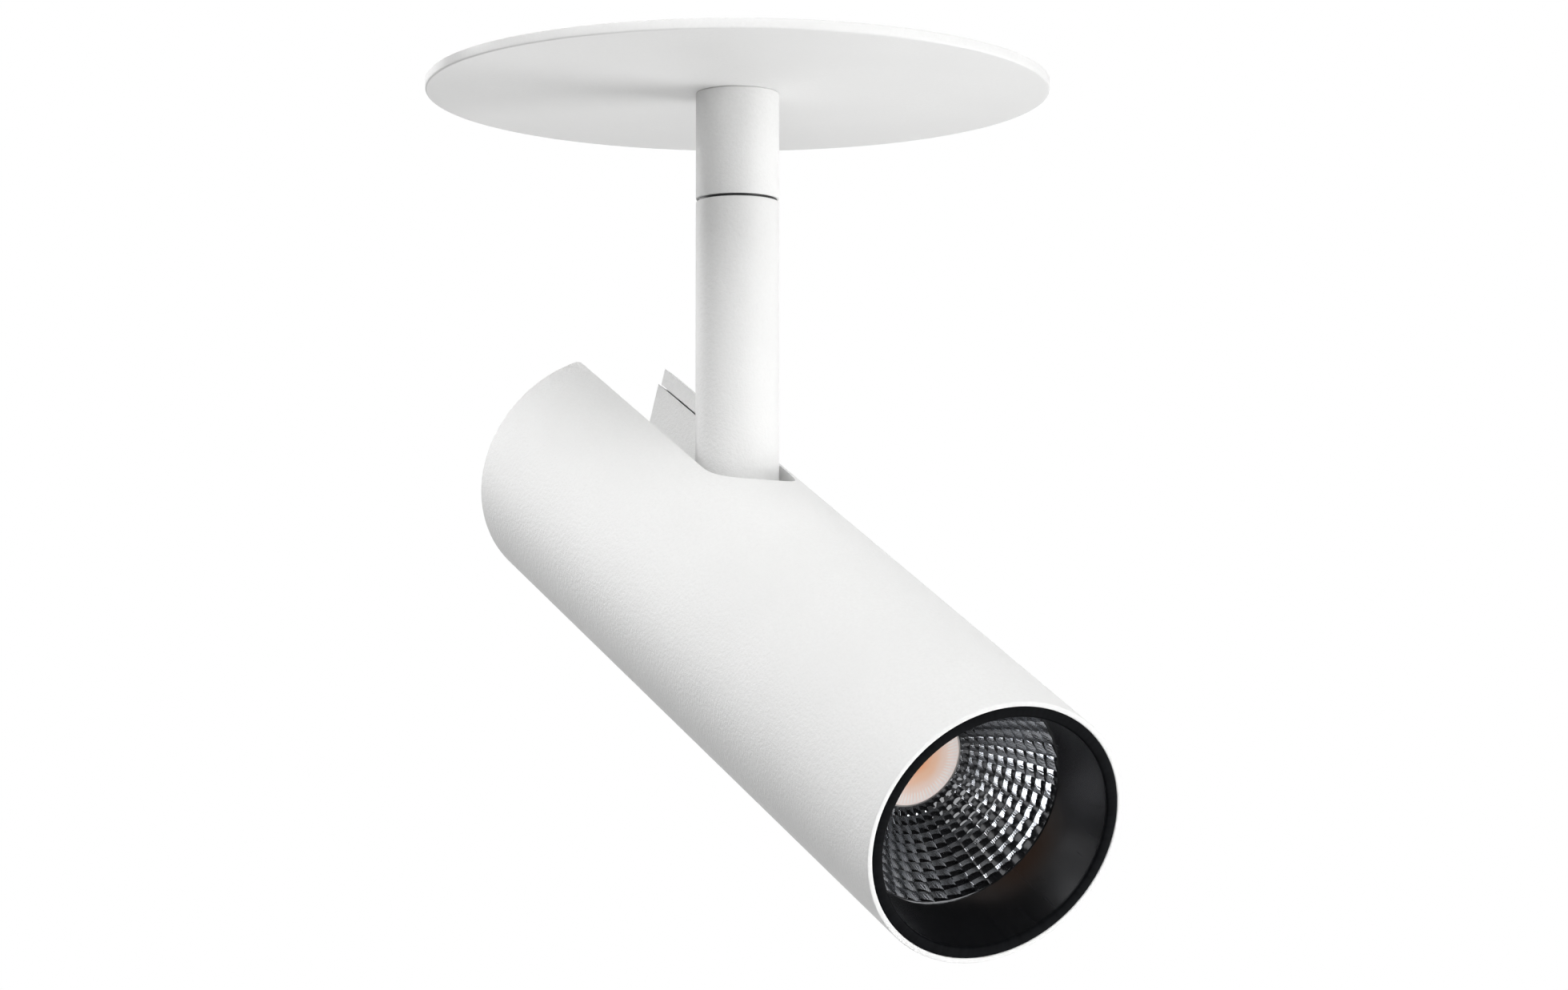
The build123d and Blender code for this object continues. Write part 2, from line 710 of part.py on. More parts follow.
# Mounting can: wall, inward flange, lid tabs and two pairs of ears
can = ring(can_radius, can_inner, pocket_z, can_top_z)
can += ring(can_inner + can_wall / 2, can_flange_inner_radius, pocket_z, flange_top_z)
ear_out = arm_pivot_out + ear_radius
web_top = arm_pivot_z - arm_cheek_radius - slip_gap
web_low = web_top - ear_thickness
ear_half = ear_gap / 2
lid_screw_y = can_inner - lid_tab_length / 2
for side in (-1, 1):
    tab_y = sorted((side * (can_inner + can_wall / 2), side * (can_inner - lid_tab_length)))
    can += block((-lid_tab_width / 2, lid_tab_width / 2), tab_y, (can_top_z - can_wall, can_top_z))
    for face in (-1, 1):
        ear_y = sorted((face * ear_half, face * (ear_half + ear_thickness)))
        ear_x = sorted((side * can_inner, side * arm_pivot_out))
        can += block(ear_x, ear_y, (web_low, arm_pivot_z + ear_radius))
        can += along_y(ear_radius, *ear_y, x=side * arm_pivot_out, z=arm_pivot_z)
        foot_x = sorted((side * arm_pivot_out, side * ear_out))
        can += block(foot_x, ear_y, (web_low, arm_pivot_z))
    web_x = sorted((side * (can_radius - can_wall / 2), side * ear_out))
    can += block(web_x, (-ear_half - ear_thickness / 2, ear_half + ear_thickness / 2), (web_low, web_top))
    reach = ear_half + ear_thickness + overrun
    can -= along_y(arm_pin_radius + fit_gap, -reach, reach, x=side * arm_pivot_out, z=arm_pivot_z)
    can -= rod(
        lid_screw_radius + fit_gap, can_top_z - can_wall - overrun, can_top_z + overrun, y=side * lid_screw_y
    )
can -= rod(can_inner, flange_top_z, can_top_z - can_wall - lid_skirt_depth)
for x, y in stud_places:
    can -= rod(stud_radius + hole_gap, pocket_z - overrun, flange_top_z + overrun, x, y)
saddle_mid = -saddle_offset
saddle_y = (saddle_mid - saddle_depth / 2, saddle_mid + saddle_depth / 2)
saddle_places = [side * saddle_screw_spacing / 2 for side in (-1, 1)]
for x in saddle_places:
    can -= rod(saddle_screw_radius + thread_gap, pocket_z - overrun, flange_top_z + overrun, x, saddle_mid)
save("mounting_can", can)
stud_nuts = [
    hex_nut(stud_nut_flats, stud_radius + thread_gap, flange_top_z, flange_top_z + stud_nut_thickness, x, y)
    for x, y in stud_places
]
save("can_nuts", group(stud_nuts))

# Lid with its cord inlet
lid = rod(can_radius, can_top_z, can_top_z + lid_thickness)
skirt_outer = can_inner - slip_gap
skirt_low = can_top_z - lid_skirt_depth
skirt = ring(skirt_outer, skirt_outer - lid_skirt_wall, skirt_low, can_top_z + lid_thickness / 2)
tab_half = lid_tab_width / 2 + hole_gap
skirt -= block((-tab_half, tab_half), (-can_radius, can_radius), (skirt_low - overrun, can_top_z))
lid += skirt
lid_span = (can_top_z - overrun, can_top_z + lid_thickness + overrun)
for side in (-1, 1):
    lid -= rod(lid_screw_radius + hole_gap, *lid_span, y=side * lid_screw_y)
inlet_outer = inlet_radius + inlet_wall
lid -= rod(inlet_outer + fit_gap, *lid_span, x=inlet_offset)
save("can_lid", lid)
lid_screws = [
    screw(
        lid_screw_radius,
        lid_screw_head_radius,
        can_top_z + lid_thickness - lid_screw_length,
        can_top_z + lid_thickness,
        lid_screw_head_thickness,
        y=side * lid_screw_y,
    )
    for side in (-1, 1)
]
save("lid_screws", group(lid_screws))
inlet_low = can_top_z - inlet_flange
inlet_high = can_top_z + lid_thickness + inlet_flange
inlet = rod(inlet_outer, inlet_low, inlet_high, x=inlet_offset)
inlet += rod(inlet_outer + inlet_flange, inlet_low, can_top_z, x=inlet_offset)
inlet += rod(inlet_outer + inlet_flange, can_top_z + lid_thickness, inlet_high, x=inlet_offset)
inlet -= rod(inlet_radius, inlet_low - overrun, inlet_high + overrun, x=inlet_offset)
save("inlet_grommet", inlet)

# Terminal block on the can's flange
half_block = block_width / 2
block_y = (block_offset - block_depth / 2, block_offset + block_depth / 2)
block_top = flange_top_z + block_height
terminal = block((-half_block, half_block), block_y, (flange_top_z, block_top))
pole_pitch = block_width / block_poles
pole_places = [pole_pitch * (step - (block_poles - 1) / 2) for step in range(block_poles)]
pole_z = flange_top_z + block_height / 2
screw_top = block_top - block_screw_sink
for x in pole_places:
    terminal -= along_y(block_bore_radius, block_y[0] - overrun, block_y[1] + overrun, x=x, z=pole_z)
    terminal -= rod(block_screw_radius + fit_gap, pole_z, block_top + overrun, x, block_offset)
save("terminal_block", terminal)
slot_y = (block_offset - block_screw_slot / 2, block_offset + block_screw_slot / 2)
slot_z = (screw_top - block_screw_sink, block_top)
pole_screws = [
    rod(block_screw_radius, screw_top - block_screw_length, screw_top, x, block_offset)
    - block((x - block_screw_radius, x + block_screw_radius), slot_y, slot_z)
    for x in pole_places
]
save("terminal_screws", group(pole_screws))

# Saddle that clamps the supply cord
saddle_top = flange_top_z + saddle_arch_radius + saddle_thickness
saddle_x = (-saddle_width / 2, saddle_width / 2)
saddle = block(saddle_x, saddle_y, (flange_top_z, flange_top_z + saddle_thickness))
saddle += along_y(saddle_arch_radius + saddle_thickness, *saddle_y, z=flange_top_z)
saddle &= block(saddle_x, saddle_y, (flange_top_z, saddle_top))
saddle -= along_y(saddle_arch_radius, saddle_y[0] - overrun, saddle_y[1] + overrun, z=flange_top_z)
for x in saddle_places:
    saddle -= rod(saddle_screw_radius + slip_gap, flange_top_z - overrun, saddle_top + overrun, x, saddle_mid)
save("cord_saddle", saddle)
saddle_seat = flange_top_z + saddle_thickness
saddle_screws = [
    screw(
        saddle_screw_radius,
        saddle_screw_head_radius,
        pocket_z + seat_gap,
        saddle_seat,
        lid_screw_head_thickness,
        x,
        saddle_mid,
    )
    for x in saddle_places
]
save("saddle_screws", group(saddle_screws))

# Lead from the terminal block over to the top of the spindle
loop_top = can_top_z - lid_skirt_depth - hole_gap
can_lead_path = FilletPolyline(
    (0, 0, lead_end_rise),
    (0, 0, loop_top),
    (0, block_y[0] * can_lead_crest_share, loop_top),
    (0, block_y[0] * can_lead_foot_share, pole_z),
    (0, block_y[0], pole_z),
    radius=can_lead_bend_radius,
)
can_lead = sweep(Pos(0, 0, lead_end_rise) * Circle(lead_radius), path=can_lead_path)
save("can_lead", can_lead)

# Spring arms: pins on the can, and on each side an arm, its tip pad and its coil spring
pin_reach = ear_half + ear_thickness
arm_pins = []
for side in (-1, 1):
    shaft = along_y(arm_pin_radius, -pin_reach, pin_reach, x=side * arm_pivot_out, z=arm_pivot_z)
    for face in (-1, 1):
        head_y = sorted((face * pin_reach, face * (pin_reach + arm_pin_head_thickness)))
        shaft += along_y(arm_pin_head_radius, *head_y, x=side * arm_pivot_out, z=arm_pivot_z)
    arm_pins.append(shaft)
save("arm_pins", group(arm_pins))

# The right arm is drawn about its pin at the origin, reaching along +X
strip_half = arm_width / 2
strip_low = -arm_cheek_radius
strip_top = strip_low + arm_thickness
arm = block((arm_inner_reach, arm_length), (-strip_half, strip_half), (strip_low, strip_top))
for face in (-1, 1):
    cheek_y = sorted((face * strip_half, face * (strip_half - arm_cheek_thickness)))
    arm += along_y(arm_cheek_radius, *cheek_y)
    arm += block((0, arm_cheek_length), cheek_y, (strip_low, 0))
arm -= along_y(arm_pin_radius + fit_gap, -strip_half - overrun, strip_half + overrun)
sleeve_start = arm_length - pad_length
sleeve = block(
    (sleeve_start, arm_length + pad_wall),
    (-strip_half - pad_wall, strip_half + pad_wall),
    (strip_low - pad_wall, strip_top + pad_wall),
)
sleeve = fillet(sleeve.edges().filter_by(Axis.Z), pad_round)
sleeve -= block(
    (sleeve_start - overrun, arm_length + fit_gap),
    (-strip_half - fit_gap, strip_half + fit_gap),
    (strip_low - fit_gap, strip_top + fit_gap),
)

# Coil of half turns about the pin, with one leg lying over the arm
half_pitch = coil_pitch / 2
coil_edges = []
coil_start = -half_pitch * coil_half_turns / 2
for step in range(coil_half_turns):
    sign = 1 if step % 2 == 0 else -1
    begin = coil_start + half_pitch * step
    coil_edges.append(
        Edge.make_three_point_arc(
            (0, begin, sign * coil_radius),
            (-sign * math.hypot(coil_radius, half_pitch / 2), begin + half_pitch / 2, 0),
            (0, begin + half_pitch, -sign * coil_radius),
        )
    )
leg_start = (coil_leg_length, coil_start, coil_radius)
coil_end = (0, coil_start + half_pitch * coil_half_turns, coil_radius)
stub_end = (-coil_stub_length, coil_end[1], coil_radius)
leg = Edge.make_line(leg_start, (0, coil_start, coil_radius))
stub = Edge.make_line(coil_end, stub_end)
coil_path = Wire([leg] + coil_edges + [stub])
coil_face = Pos(*leg_start) * Rot(0, -90, 0) * Circle(coil_wire_radius)
coil = sweep(coil_face, path=coil_path)
leg_reach = math.hypot(coil_leg_length, coil_radius)
leg_rest = strip_top + coil_wire_radius + slip_gap
leg_slope = math.degrees(math.atan2(coil_radius, coil_leg_length) - math.asin(leg_rest / leg_reach))
coil = Rot(0, leg_slope, 0) * coil

arm_frames = {
    "right": Pos(arm_pivot_out, 0, arm_pivot_z),
    "left": Rot(0, 0, 180) * Pos(arm_pivot_out, 0, arm_pivot_z),
}
for side_name, frame in arm_frames.items():
    save(f"spring_arm_{side_name}", arm, frame)
    save(f"arm_pad_{side_name}", sleeve, frame)
    save(f"arm_spring_{side_name}", coil, frame)
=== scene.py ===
"""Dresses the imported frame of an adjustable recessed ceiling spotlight.

+Z is up and the origin is the middle of the ceiling plate's top face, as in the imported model. The sizes
of pieces and finishes are in millimetres and degrees, and those of the studio in metres.
"""

from __future__ import annotations

import logging
import math
from abc import ABC, abstractmethod
from dataclasses import dataclass
from enum import Enum
from typing import Any, Callable, Mapping, Sequence

import bmesh
import bpy
from mathutils import Matrix, Vector


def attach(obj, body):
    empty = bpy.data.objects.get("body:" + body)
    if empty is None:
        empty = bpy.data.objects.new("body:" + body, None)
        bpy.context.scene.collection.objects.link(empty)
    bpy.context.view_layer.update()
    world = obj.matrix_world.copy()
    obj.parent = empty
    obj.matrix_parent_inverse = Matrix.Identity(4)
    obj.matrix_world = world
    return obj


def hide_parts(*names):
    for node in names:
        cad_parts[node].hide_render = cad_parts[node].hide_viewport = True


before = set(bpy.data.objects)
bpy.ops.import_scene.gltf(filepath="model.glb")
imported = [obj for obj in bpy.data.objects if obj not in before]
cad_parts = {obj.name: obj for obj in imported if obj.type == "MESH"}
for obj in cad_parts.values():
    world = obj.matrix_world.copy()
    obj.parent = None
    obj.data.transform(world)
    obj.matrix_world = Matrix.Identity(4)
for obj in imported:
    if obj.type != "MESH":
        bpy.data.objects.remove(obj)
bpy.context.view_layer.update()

LOG = logging.getLogger("spotlight")
MM = 0.001
SAME_PLACE = 1e-6
ROUND_STEPS = 4
OVERRUN = 1.0
FLAT = 0.99
NOISE_RANGE = (0.3, 0.7)
Pair = tuple[float, float]
Triple = tuple[float, float, float]
WHITE: Triple = (1.0, 1.0, 1.0)
Piece = bpy.types.Object


class Body(Enum):
    """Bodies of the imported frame."""

    MOUNT = "ceiling_mount"
    STEM = "stem"
    HEAD = "head"
    LEFT_ARM = "left_arm"
    RIGHT_ARM = "right_arm"


class Slot(Enum):
    """Material slots of the record."""

    WHITE_COAT = "white_coat"
    WHITE_ALUMINIUM = "white_aluminium"
    BLACK_COAT = "black_coat"
    BLACK_PLASTIC = "black_plastic"
    STEEL = "steel"
    CAN_STEEL = "can_steel"
    BRASS = "brass"
    WHITE_PLASTIC = "white_plastic"
    NYLON = "nylon"
    RUBBER = "rubber"
    LEAD_SHEATH = "lead_sheath"
    ALUMINIUM = "aluminium"
    PAD_GREY = "pad_grey"
    BOARD_WHITE = "board_white"
    PHOSPHOR = "phosphor"
    MIRROR_METAL = "mirror_metal"


def at(x: float, y: float, z: float) -> Matrix:
    """Shift, given in millimetres."""
    return Matrix.Translation((x * MM, y * MM, z * MM))


def turned(degrees: float, axis: str) -> Matrix:
    """Turn about an axis."""
    return Matrix.Rotation(math.radians(degrees), 4, axis)


def arc(middle: Pair, radius: float, start: float, end: float, steps: int) -> list[Pair]:
    """Points along an arc, both ends included.

    Args:
        middle: middle of its circle.
        radius: radius of its circle.
        start: where it starts, in degrees.
        end: where it ends, in degrees.
        steps: steps along it.

    Returns:
        The points.
    """
    turns = (math.radians(start + (end - start) * step / steps) for step in range(steps + 1))
    return [(middle[0] + radius * math.cos(turn), middle[1] + radius * math.sin(turn)) for turn in turns]


def dimmed(colour: Triple, share: float) -> Triple:
    """Colour times a share."""
    return tuple(share * part for part in colour)


class Field:
    """Output socket of a shader graph that takes part in arithmetic."""

    def __init__(self, graph: Graph, socket: bpy.types.NodeSocket | None) -> None:
        """Keep the graph and the socket."""
        self.graph = graph
        self.socket = socket

    def math(self, operation: str, other: Wire = 0.0, swapped: bool = False) -> Field:
        """Add a Math node, or a Vector Math node for a vector or a colour.

        Args:
            operation: name of the operation.
            other: second operand.
            swapped: whether the operands change places.

        Returns:
            The result.
        """
        pair = (other, self) if swapped else (self, other)
        kind = "ShaderNodeMath" if self.socket.type == "VALUE" else "ShaderNodeVectorMath"
        return self.graph.add(kind, {"operation": operation}, dict(enumerate(pair)))

    def __add__(self, other: Wire) -> Field:
        """Sum."""
        return self.math("ADD", other)

    def __sub__(self, other: Wire) -> Field:
        """Difference."""
        return self.math("SUBTRACT", other)

    def __rsub__(self, other: Wire) -> Field:
        """Difference, reflected."""
        return self.math("SUBTRACT", other, swapped=True)

    def __mul__(self, other: Wire) -> Field:
        """Product."""
        return self.math("MULTIPLY", other)

    def __truediv__(self, other: Wire) -> Field:
        """Quotient."""
        return self.math("DIVIDE", other)

    def __rtruediv__(self, other: Wire) -> Field:
        """Quotient, reflected."""
        return self.math("DIVIDE", other, swapped=True)

    __radd__ = __add__
    __rmul__ = __mul__

    def hypot(self, other: Field) -> Field:
        """Length of two numbers at right angles."""
        return (self * self + other * other).math("SQRT")

    def dot(self, axis: Sequence[float]) -> Field:
        """Length of a vector along an axis."""
        settings = {"operation": "DOT_PRODUCT"}
        return self.graph.add("ShaderNodeVectorMath", settings, {0: self, 1: tuple(axis)}, "Value")

    def output(self, name: str) -> Field:
        """Another output of the same node."""
        return Field(self.graph, self.socket.node.outputs[name])


Wire = Field | float | Sequence[float]
Inputs = Mapping[str, Wire]


class Graph:
    """Node graph of one material or world."""

    def __init__(self, owner: bpy.types.Material | bpy.types.World) -> None:
        """Start from an empty tree.

        Args:
            owner: new material or world.
        """
        owner.use_nodes = True
        self.tree = owner.node_tree
        self.tree.nodes.clear()
        self.ending = f"ShaderNodeOutput{type(owner).__name__}"

    def add(
        self,
        kind: str,
        settings: Mapping[str, Any] | None = None,
        inputs: Mapping[int | str, Wire] | None = None,
        output: int | str = 0,
    ) -> Field:
        """Add a node.

        Args:
            kind: the node's type.
            settings: its properties, set first; a ramp's stops are (place, colour) pairs.
            inputs: values or links of its sockets, a colour as three numbers.
            output: which output to give back.

        Returns:
            The chosen output.
        """
        node = self.tree.nodes.new(kind)
        for name, value in (settings or {}).items():
            if name == "stops":
                self._set_stops(node.color_ramp, value)
            else:
                setattr(node, name, value)
        for name, value in (inputs or {}).items():
            socket = node.inputs[name]
            if isinstance(value, Field):
                self.tree.links.new(value.socket, socket)
            else:
                socket.default_value = (*value, 1.0) if socket.type == "RGBA" else value
        if output == 0:
            return Field(self, next((socket for socket in node.outputs if socket.enabled), None))
        return Field(self, node.outputs[output])

    @staticmethod
    def _set_stops(table: bpy.types.ColorRamp, stops: Sequence[tuple[float, Triple]]) -> None:
        """Give a colour ramp its stops, eased in between.

        Args:
            table: the ramp.
            stops: its (place, colour) pairs.
        """
        table.interpolation = "EASE"
        while len(table.elements) < len(stops):
            table.elements.new(1.0)
        for element, (place, colour) in zip(table.elements, stops):
            element.position = place
            element.color = (*colour, 1.0)

    def span(self, value: Field, low: float, high: float, start: float = 0.0, end: float = 1.0) -> Field:
        """Map a value from one range to another, clamped."""
        inputs = {"Value": value, "From Min": low, "From Max": high, "To Min": start, "To Max": end}
        return self.add("ShaderNodeMapRange", {"clamp": True}, inputs)

    def vary(self, noise: Field, start: float = 0.0, end: float = 1.0) -> Field:
        """Map the range that most of a noise lies in."""
        return self.span(noise, *NOISE_RANGE, start, end)

    def mix(self, share: Wire, first: Wire, second: Wire) -> Field:
        """Colour between two colours."""
        inputs = {"Factor": share, 6: first, 7: second}
        return self.add("ShaderNodeMix", {"data_type": "RGBA"}, inputs, 2)

    def place(self) -> Field:
        """Object coordinates."""
        return self.add("ShaderNodeTexCoord", output="Object")

    def head_place(self) -> tuple[Field, ...]:
        """Object coordinates in the head's frame, in millimetres."""
        offset = self.place() - tuple(HEAD_PLACE.to_translation())
        return tuple(offset.dot(HEAD_PLACE.to_3x3().col[axis] / MM) for axis in range(3))

    def noise(self, place: Field, size: float, detail: float = 2.0, roughness: float = 0.5) -> Field:
        """Soft noise whose features are about size millimetres."""
        inputs = {"Vector": place, "Scale": 1 / (size * MM), "Detail": detail, "Roughness": roughness}
        return self.add("ShaderNodeTexNoise", {"noise_dimensions": "3D"}, inputs, "Fac")

    def bump(self, height: Field, rise: float, under: Field | None = None) -> Field:
        """Normal of a relief.

        Args:
            height: relief from 0 to 1.
            rise: its full height in millimetres.
            under: normal of the relief that it lies on.

        Returns:
            The normal.
        """
        inputs: dict[int | str, Wire] = {"Height": height, "Distance": rise * MM}
        if under is not None:
            inputs["Normal"] = under
        return self.add("ShaderNodeBump", None, inputs)

    def principled(self, inputs: Inputs) -> Field:
        """Principled shader."""
        return self.add("ShaderNodeBsdfPrincipled", None, inputs)

    def shine(self, kind: str, strength: Wire) -> Field:
        """White light from an Emission or a Background node."""
        return self.add(kind, None, {"Color": WHITE, "Strength": strength})

    def blend(self, share: Wire, first: Field, second: Field) -> Field:
        """Shader between two shaders."""
        return self.add("ShaderNodeMixShader", None, {0: share, 1: first, 2: second})

    def surface(self, shader: Field) -> None:
        """Send a shader to the output."""
        self.add(self.ending, None, {"Surface": shader})


@dataclass(frozen=True)
class HeadFrame:
    """Where the head's own frame stands at rest."""

    pivot_z: float = -84.6
    tilt: float = 27.6
    axis_drop: float = 13.398

    def place(self) -> Matrix:
        """X across, Y up towards the slot, Z ahead to the mouth, from a point on the tube's axis."""
        return at(0, 0, self.pivot_z) @ turned(self.tilt, "X") @ at(0, 0, -self.axis_drop) @ turned(90, "X")


HEAD_PLACE = HeadFrame().place()


class Finish(ABC):
    """Procedural finish of one material slot."""

    slot: Slot

    def material(self) -> bpy.types.Material:
        """Build the finish once.

        Returns:
            Its material.
        """
        name = f"finish_{type(self).__name__}_{self.slot.value}"
        known = bpy.data.materials.get(name)
        if known:
            return known
        material = bpy.data.materials.new(name)
        graph = Graph(material)
        graph.surface(graph.principled(self.inputs(graph)))
        return material

    @abstractmethod
    def inputs(self, graph: Graph) -> Inputs:
        """Add the finish's nodes.

        Args:
            graph: empty graph of its material.

        Returns:
            Inputs of its Principled shader.
        """


@dataclass(frozen=True)
class PowderCoat(Finish):
    """Matt powder coat: fine grain over a soft orange peel, with a faint change of tone and painted shade in
    the grain's hollows.
    """

    slot: Slot
    colour: Triple = (0.80, 0.80, 0.795)
    roughness: float = 0.50
    grain: float = 0.70
    grain_rise: float = 0.13
    peel: float = 1.8
    peel_rise: float = 0.014
    cloud: float = 26.0
    cloud_tone: float = 0.965
    # painted shade: how much darker the colour is in the grain's hollows, and the grain values it spans
    pit_tone: float = 0.955
    pit_range: Pair = (0.30, 0.62)

    def inputs(self, graph: Graph) -> Inputs:
        """White coat."""
        place = graph.place()
        grain = graph.noise(place, self.grain, 3.0, 0.65)
        peel = graph.noise(place, self.peel)
        cloud = graph.vary(graph.noise(place, self.cloud))
        coat = graph.mix(cloud, dimmed(self.colour, self.cloud_tone), self.colour)
        # painted shade: the grain's hollows, low in the same noise as its bump, are darker in colour
        hollow_shade = graph.span(grain, *self.pit_range)
        return {
            "Base Color": graph.mix(hollow_shade, dimmed(self.colour, self.pit_tone), coat),
            "Roughness": graph.vary(grain, self.roughness - 0.05, self.roughness + 0.06),
            "Normal": graph.bump(grain, self.grain_rise, graph.bump(peel, self.peel_rise)),
        }


@dataclass(frozen=True)
class BlackCoat(Finish):
    """Black anodised baffle: dull on its lip, satin with faint drawn streaks inside its cone."""

    slot: Slot = Slot.BLACK_COAT
    colour: Triple = (0.0035, 0.0038, 0.0045)
    streak_tone: float = 1.8
    streaks: float = 30.0
    stretch: float = 0.06
    grain: float = 0.22
    lip: float = 111.9
    lip_fade: float = 0.8
    specular: float = 0.02
    gloss: float = 0.55
    gloss_roughness: float = 0.20

    def inputs(self, graph: Graph) -> Inputs:
        """Black coat."""
        x, y, z = graph.head_place()
        turn = y.math("ARCTAN2", x)
        sides = {
            "X": turn.math("COSINE") * self.streaks,
            "Y": turn.math("SINE") * self.streaks,
            "Z": z * self.stretch,
        }
        streak = graph.noise(graph.add("ShaderNodeCombineXYZ", None, sides), 1 / MM, 3.0)
        grain = graph.noise(graph.place(), self.grain)
        inside = graph.span(z, self.lip - self.lip_fade, self.lip - self.lip_fade / 4, 1.0, 0.0)
        streaked = graph.span(streak, 0.35, 0.75)
        return {
            "Base Color": graph.mix(streaked, self.colour, dimmed(self.colour, self.streak_tone)),
            "Roughness": graph.vary(streak, 0.40, 0.50),
            "Specular IOR Level": self.specular,
            "Coat Weight": inside * self.gloss,
            "Coat Roughness": self.gloss_roughness,
            "Normal": graph.bump(streak, 0.004, graph.bump(grain, 0.003)),
        }


@dataclass(frozen=True)
class MirrorMetal(Finish):
    """Vacuum metalised bowl: a bright mirror with a trace of waviness."""

    slot: Slot = Slot.MIRROR_METAL
    colour: Triple = (0.90, 0.91, 0.93)
    hazed: Triple = (0.80, 0.82, 0.86)
    haze_range: Pair = (0.35, 0.7)
    wave: float = 1.1
    haze: float = 5.0

    def inputs(self, graph: Graph) -> Inputs:
        """Mirror."""
        place = graph.place()
        haze = graph.noise(place, self.haze, 3.0)
        return {
            "Base Color": graph.mix(graph.span(haze, *self.haze_range), self.colour, self.hazed),
            "Metallic": 1.0,
            "Roughness": graph.span(haze, *self.haze_range, 0.03, 0.07),
            "Normal": graph.bump(graph.noise(place, self.wave), 0.004),
        }


@dataclass(frozen=True)
class Phosphor(Finish):
    """Soft silicone disc over the light source: amber in the middle, pale towards its edge, with a painted
    glow and painted highlights on its ribs.
    """

    slot: Slot = Slot.PHOSPHOR
    radius: float = 8.9
    # painted light: the glow stands in for light falling on the disc, and its own colour is dimmed to match
    glow: float = 0.44
    body: float = 0.60
    cloud: float = 2.4
    ribs: int = 76
    rib_start: Pair = (0.70, 0.78)
    rib_end: Pair = (0.95, 0.97)
    # painted highlights on the ribs: their share and colour
    rib_share: float = 0.7
    rib_colour: Triple = (1.0, 0.96, 0.94)
    stops: tuple[tuple[float, Triple], ...] = (
        (0.0, (0.95, 0.40, 0.17)),
        (0.20, (0.97, 0.47, 0.25)),
        (0.45, (0.98, 0.62, 0.44)),
        (0.70, (0.98, 0.76, 0.66)),
        (0.95, (0.99, 0.86, 0.81)),
    )

    def inputs(self, graph: Graph) -> Inputs:
        """Disc with a painted glow and painted highlights on its ribs."""
        x, y, _ = graph.head_place()
        out = x.hypot(y) / self.radius
        cloud = graph.noise(graph.place(), self.cloud)
        amber = graph.add("ShaderNodeValToRGB", {"stops": self.stops}, {"Fac": out + (cloud - 0.5) * 0.10})
        # painted highlights: lighter stripes of colour over the ribs
        band = graph.span(out, *self.rib_start) * graph.span(out, *self.rib_end, 1.0, 0.0)
        wave = (y.math("ARCTAN2", x) * self.ribs).math("SINE")
        colour = graph.mix(graph.span(wave, -0.3, 0.3, 0.0, self.rib_share) * band, amber, self.rib_colour)
        return {
            "Base Color": colour * dimmed(WHITE, self.body),
            "Roughness": graph.vary(cloud, 0.32, 0.45),
            # painted light: the disc glows
            "Emission Color": colour,
            "Emission Strength": self.glow,
            "Normal": graph.bump(cloud, 0.02),
        }


@dataclass(frozen=True)
class PlatedSteel(Finish):
    """Plated or galvanised steel: cool grey with blotches, crystals where it has them, and fine grain."""

    slot: Slot
    colour: Triple = (0.55, 0.56, 0.58)
    blotch: float = 4.0
    roughness: float = 0.34
    spangle: float = 0.0
    spangle_share: float = 0.6
    grain: float = 0.18
    dark_tone: float = 0.72

    def inputs(self, graph: Graph) -> Inputs:
        """Plated metal."""
        place = graph.place()
        blotch = graph.noise(place, self.blotch, 4.0, 0.6)
        tone = graph.vary(blotch)
        if self.spangle:
            cells = {"Vector": place, "Scale": 1 / (self.spangle * MM), "Randomness": 1.0}
            crystal = graph.add("ShaderNodeTexVoronoi", {"feature": "F1"}, cells, "Color")
            flakes = graph.add("ShaderNodeSeparateColor", None, {0: crystal}, "Red")
            tone = tone * (1 - self.spangle_share) + flakes * self.spangle_share
        fine = graph.bump(graph.noise(place, self.grain), 0.003, graph.bump(blotch, 0.01))
        return {
            "Base Color": graph.mix(tone, dimmed(self.colour, self.dark_tone), self.colour),
            "Metallic": 1.0,
            "Roughness": graph.span(tone, 0.0, 1.0, self.roughness + 0.10, self.roughness - 0.04),
            "Normal": fine,
        }


@dataclass(frozen=True)
class Machined(Finish):
    """Bare machined metal: a fine tool mark and small changes of tone."""

    slot: Slot
    colour: Triple = (0.78, 0.79, 0.80)
    roughness: float = 0.30
    tool_mark: float = 18.0
    blotch: float = 3.0
    dark_tone: float = 0.82

    def inputs(self, graph: Graph) -> Inputs:
        """Machined metal."""
        x, y, _ = graph.head_place()
        groove = (x.hypot(y) * self.tool_mark).math("SINE") * 0.5 + 0.5
        blotch = graph.noise(graph.place(), self.blotch, 3.0)
        return {
            "Base Color": graph.mix(graph.vary(blotch), dimmed(self.colour, self.dark_tone), self.colour),
            "Metallic": 1.0,
            "Roughness": graph.vary(blotch, self.roughness - 0.04, self.roughness + 0.08),
            "Normal": graph.bump(groove, 0.004),
        }


@dataclass(frozen=True)
class Moulded(Finish):
    """Moulded plastic or rubber: a fine spark texture and faint flow marks."""

    slot: Slot
    colour: Triple
    roughness: float = 0.45
    grain: float = 0.25
    grain_rise: float = 0.008
    flow: float = 9.0
    flow_rise: float = 0.02
    flow_tone: float = 0.88

    def inputs(self, graph: Graph) -> Inputs:
        """Moulded surface."""
        place = graph.place()
        grain = graph.noise(place, self.grain, 2.0, 0.6)
        flow = graph.noise(place, self.flow, 3.0)
        return {
            "Base Color": graph.mix(graph.vary(flow), dimmed(self.colour, self.flow_tone), self.colour),
            "Roughness": graph.vary(grain, self.roughness - 0.06, self.roughness + 0.08),
            "Normal": graph.bump(grain, self.grain_rise, graph.bump(flow, self.flow_rise)),
        }


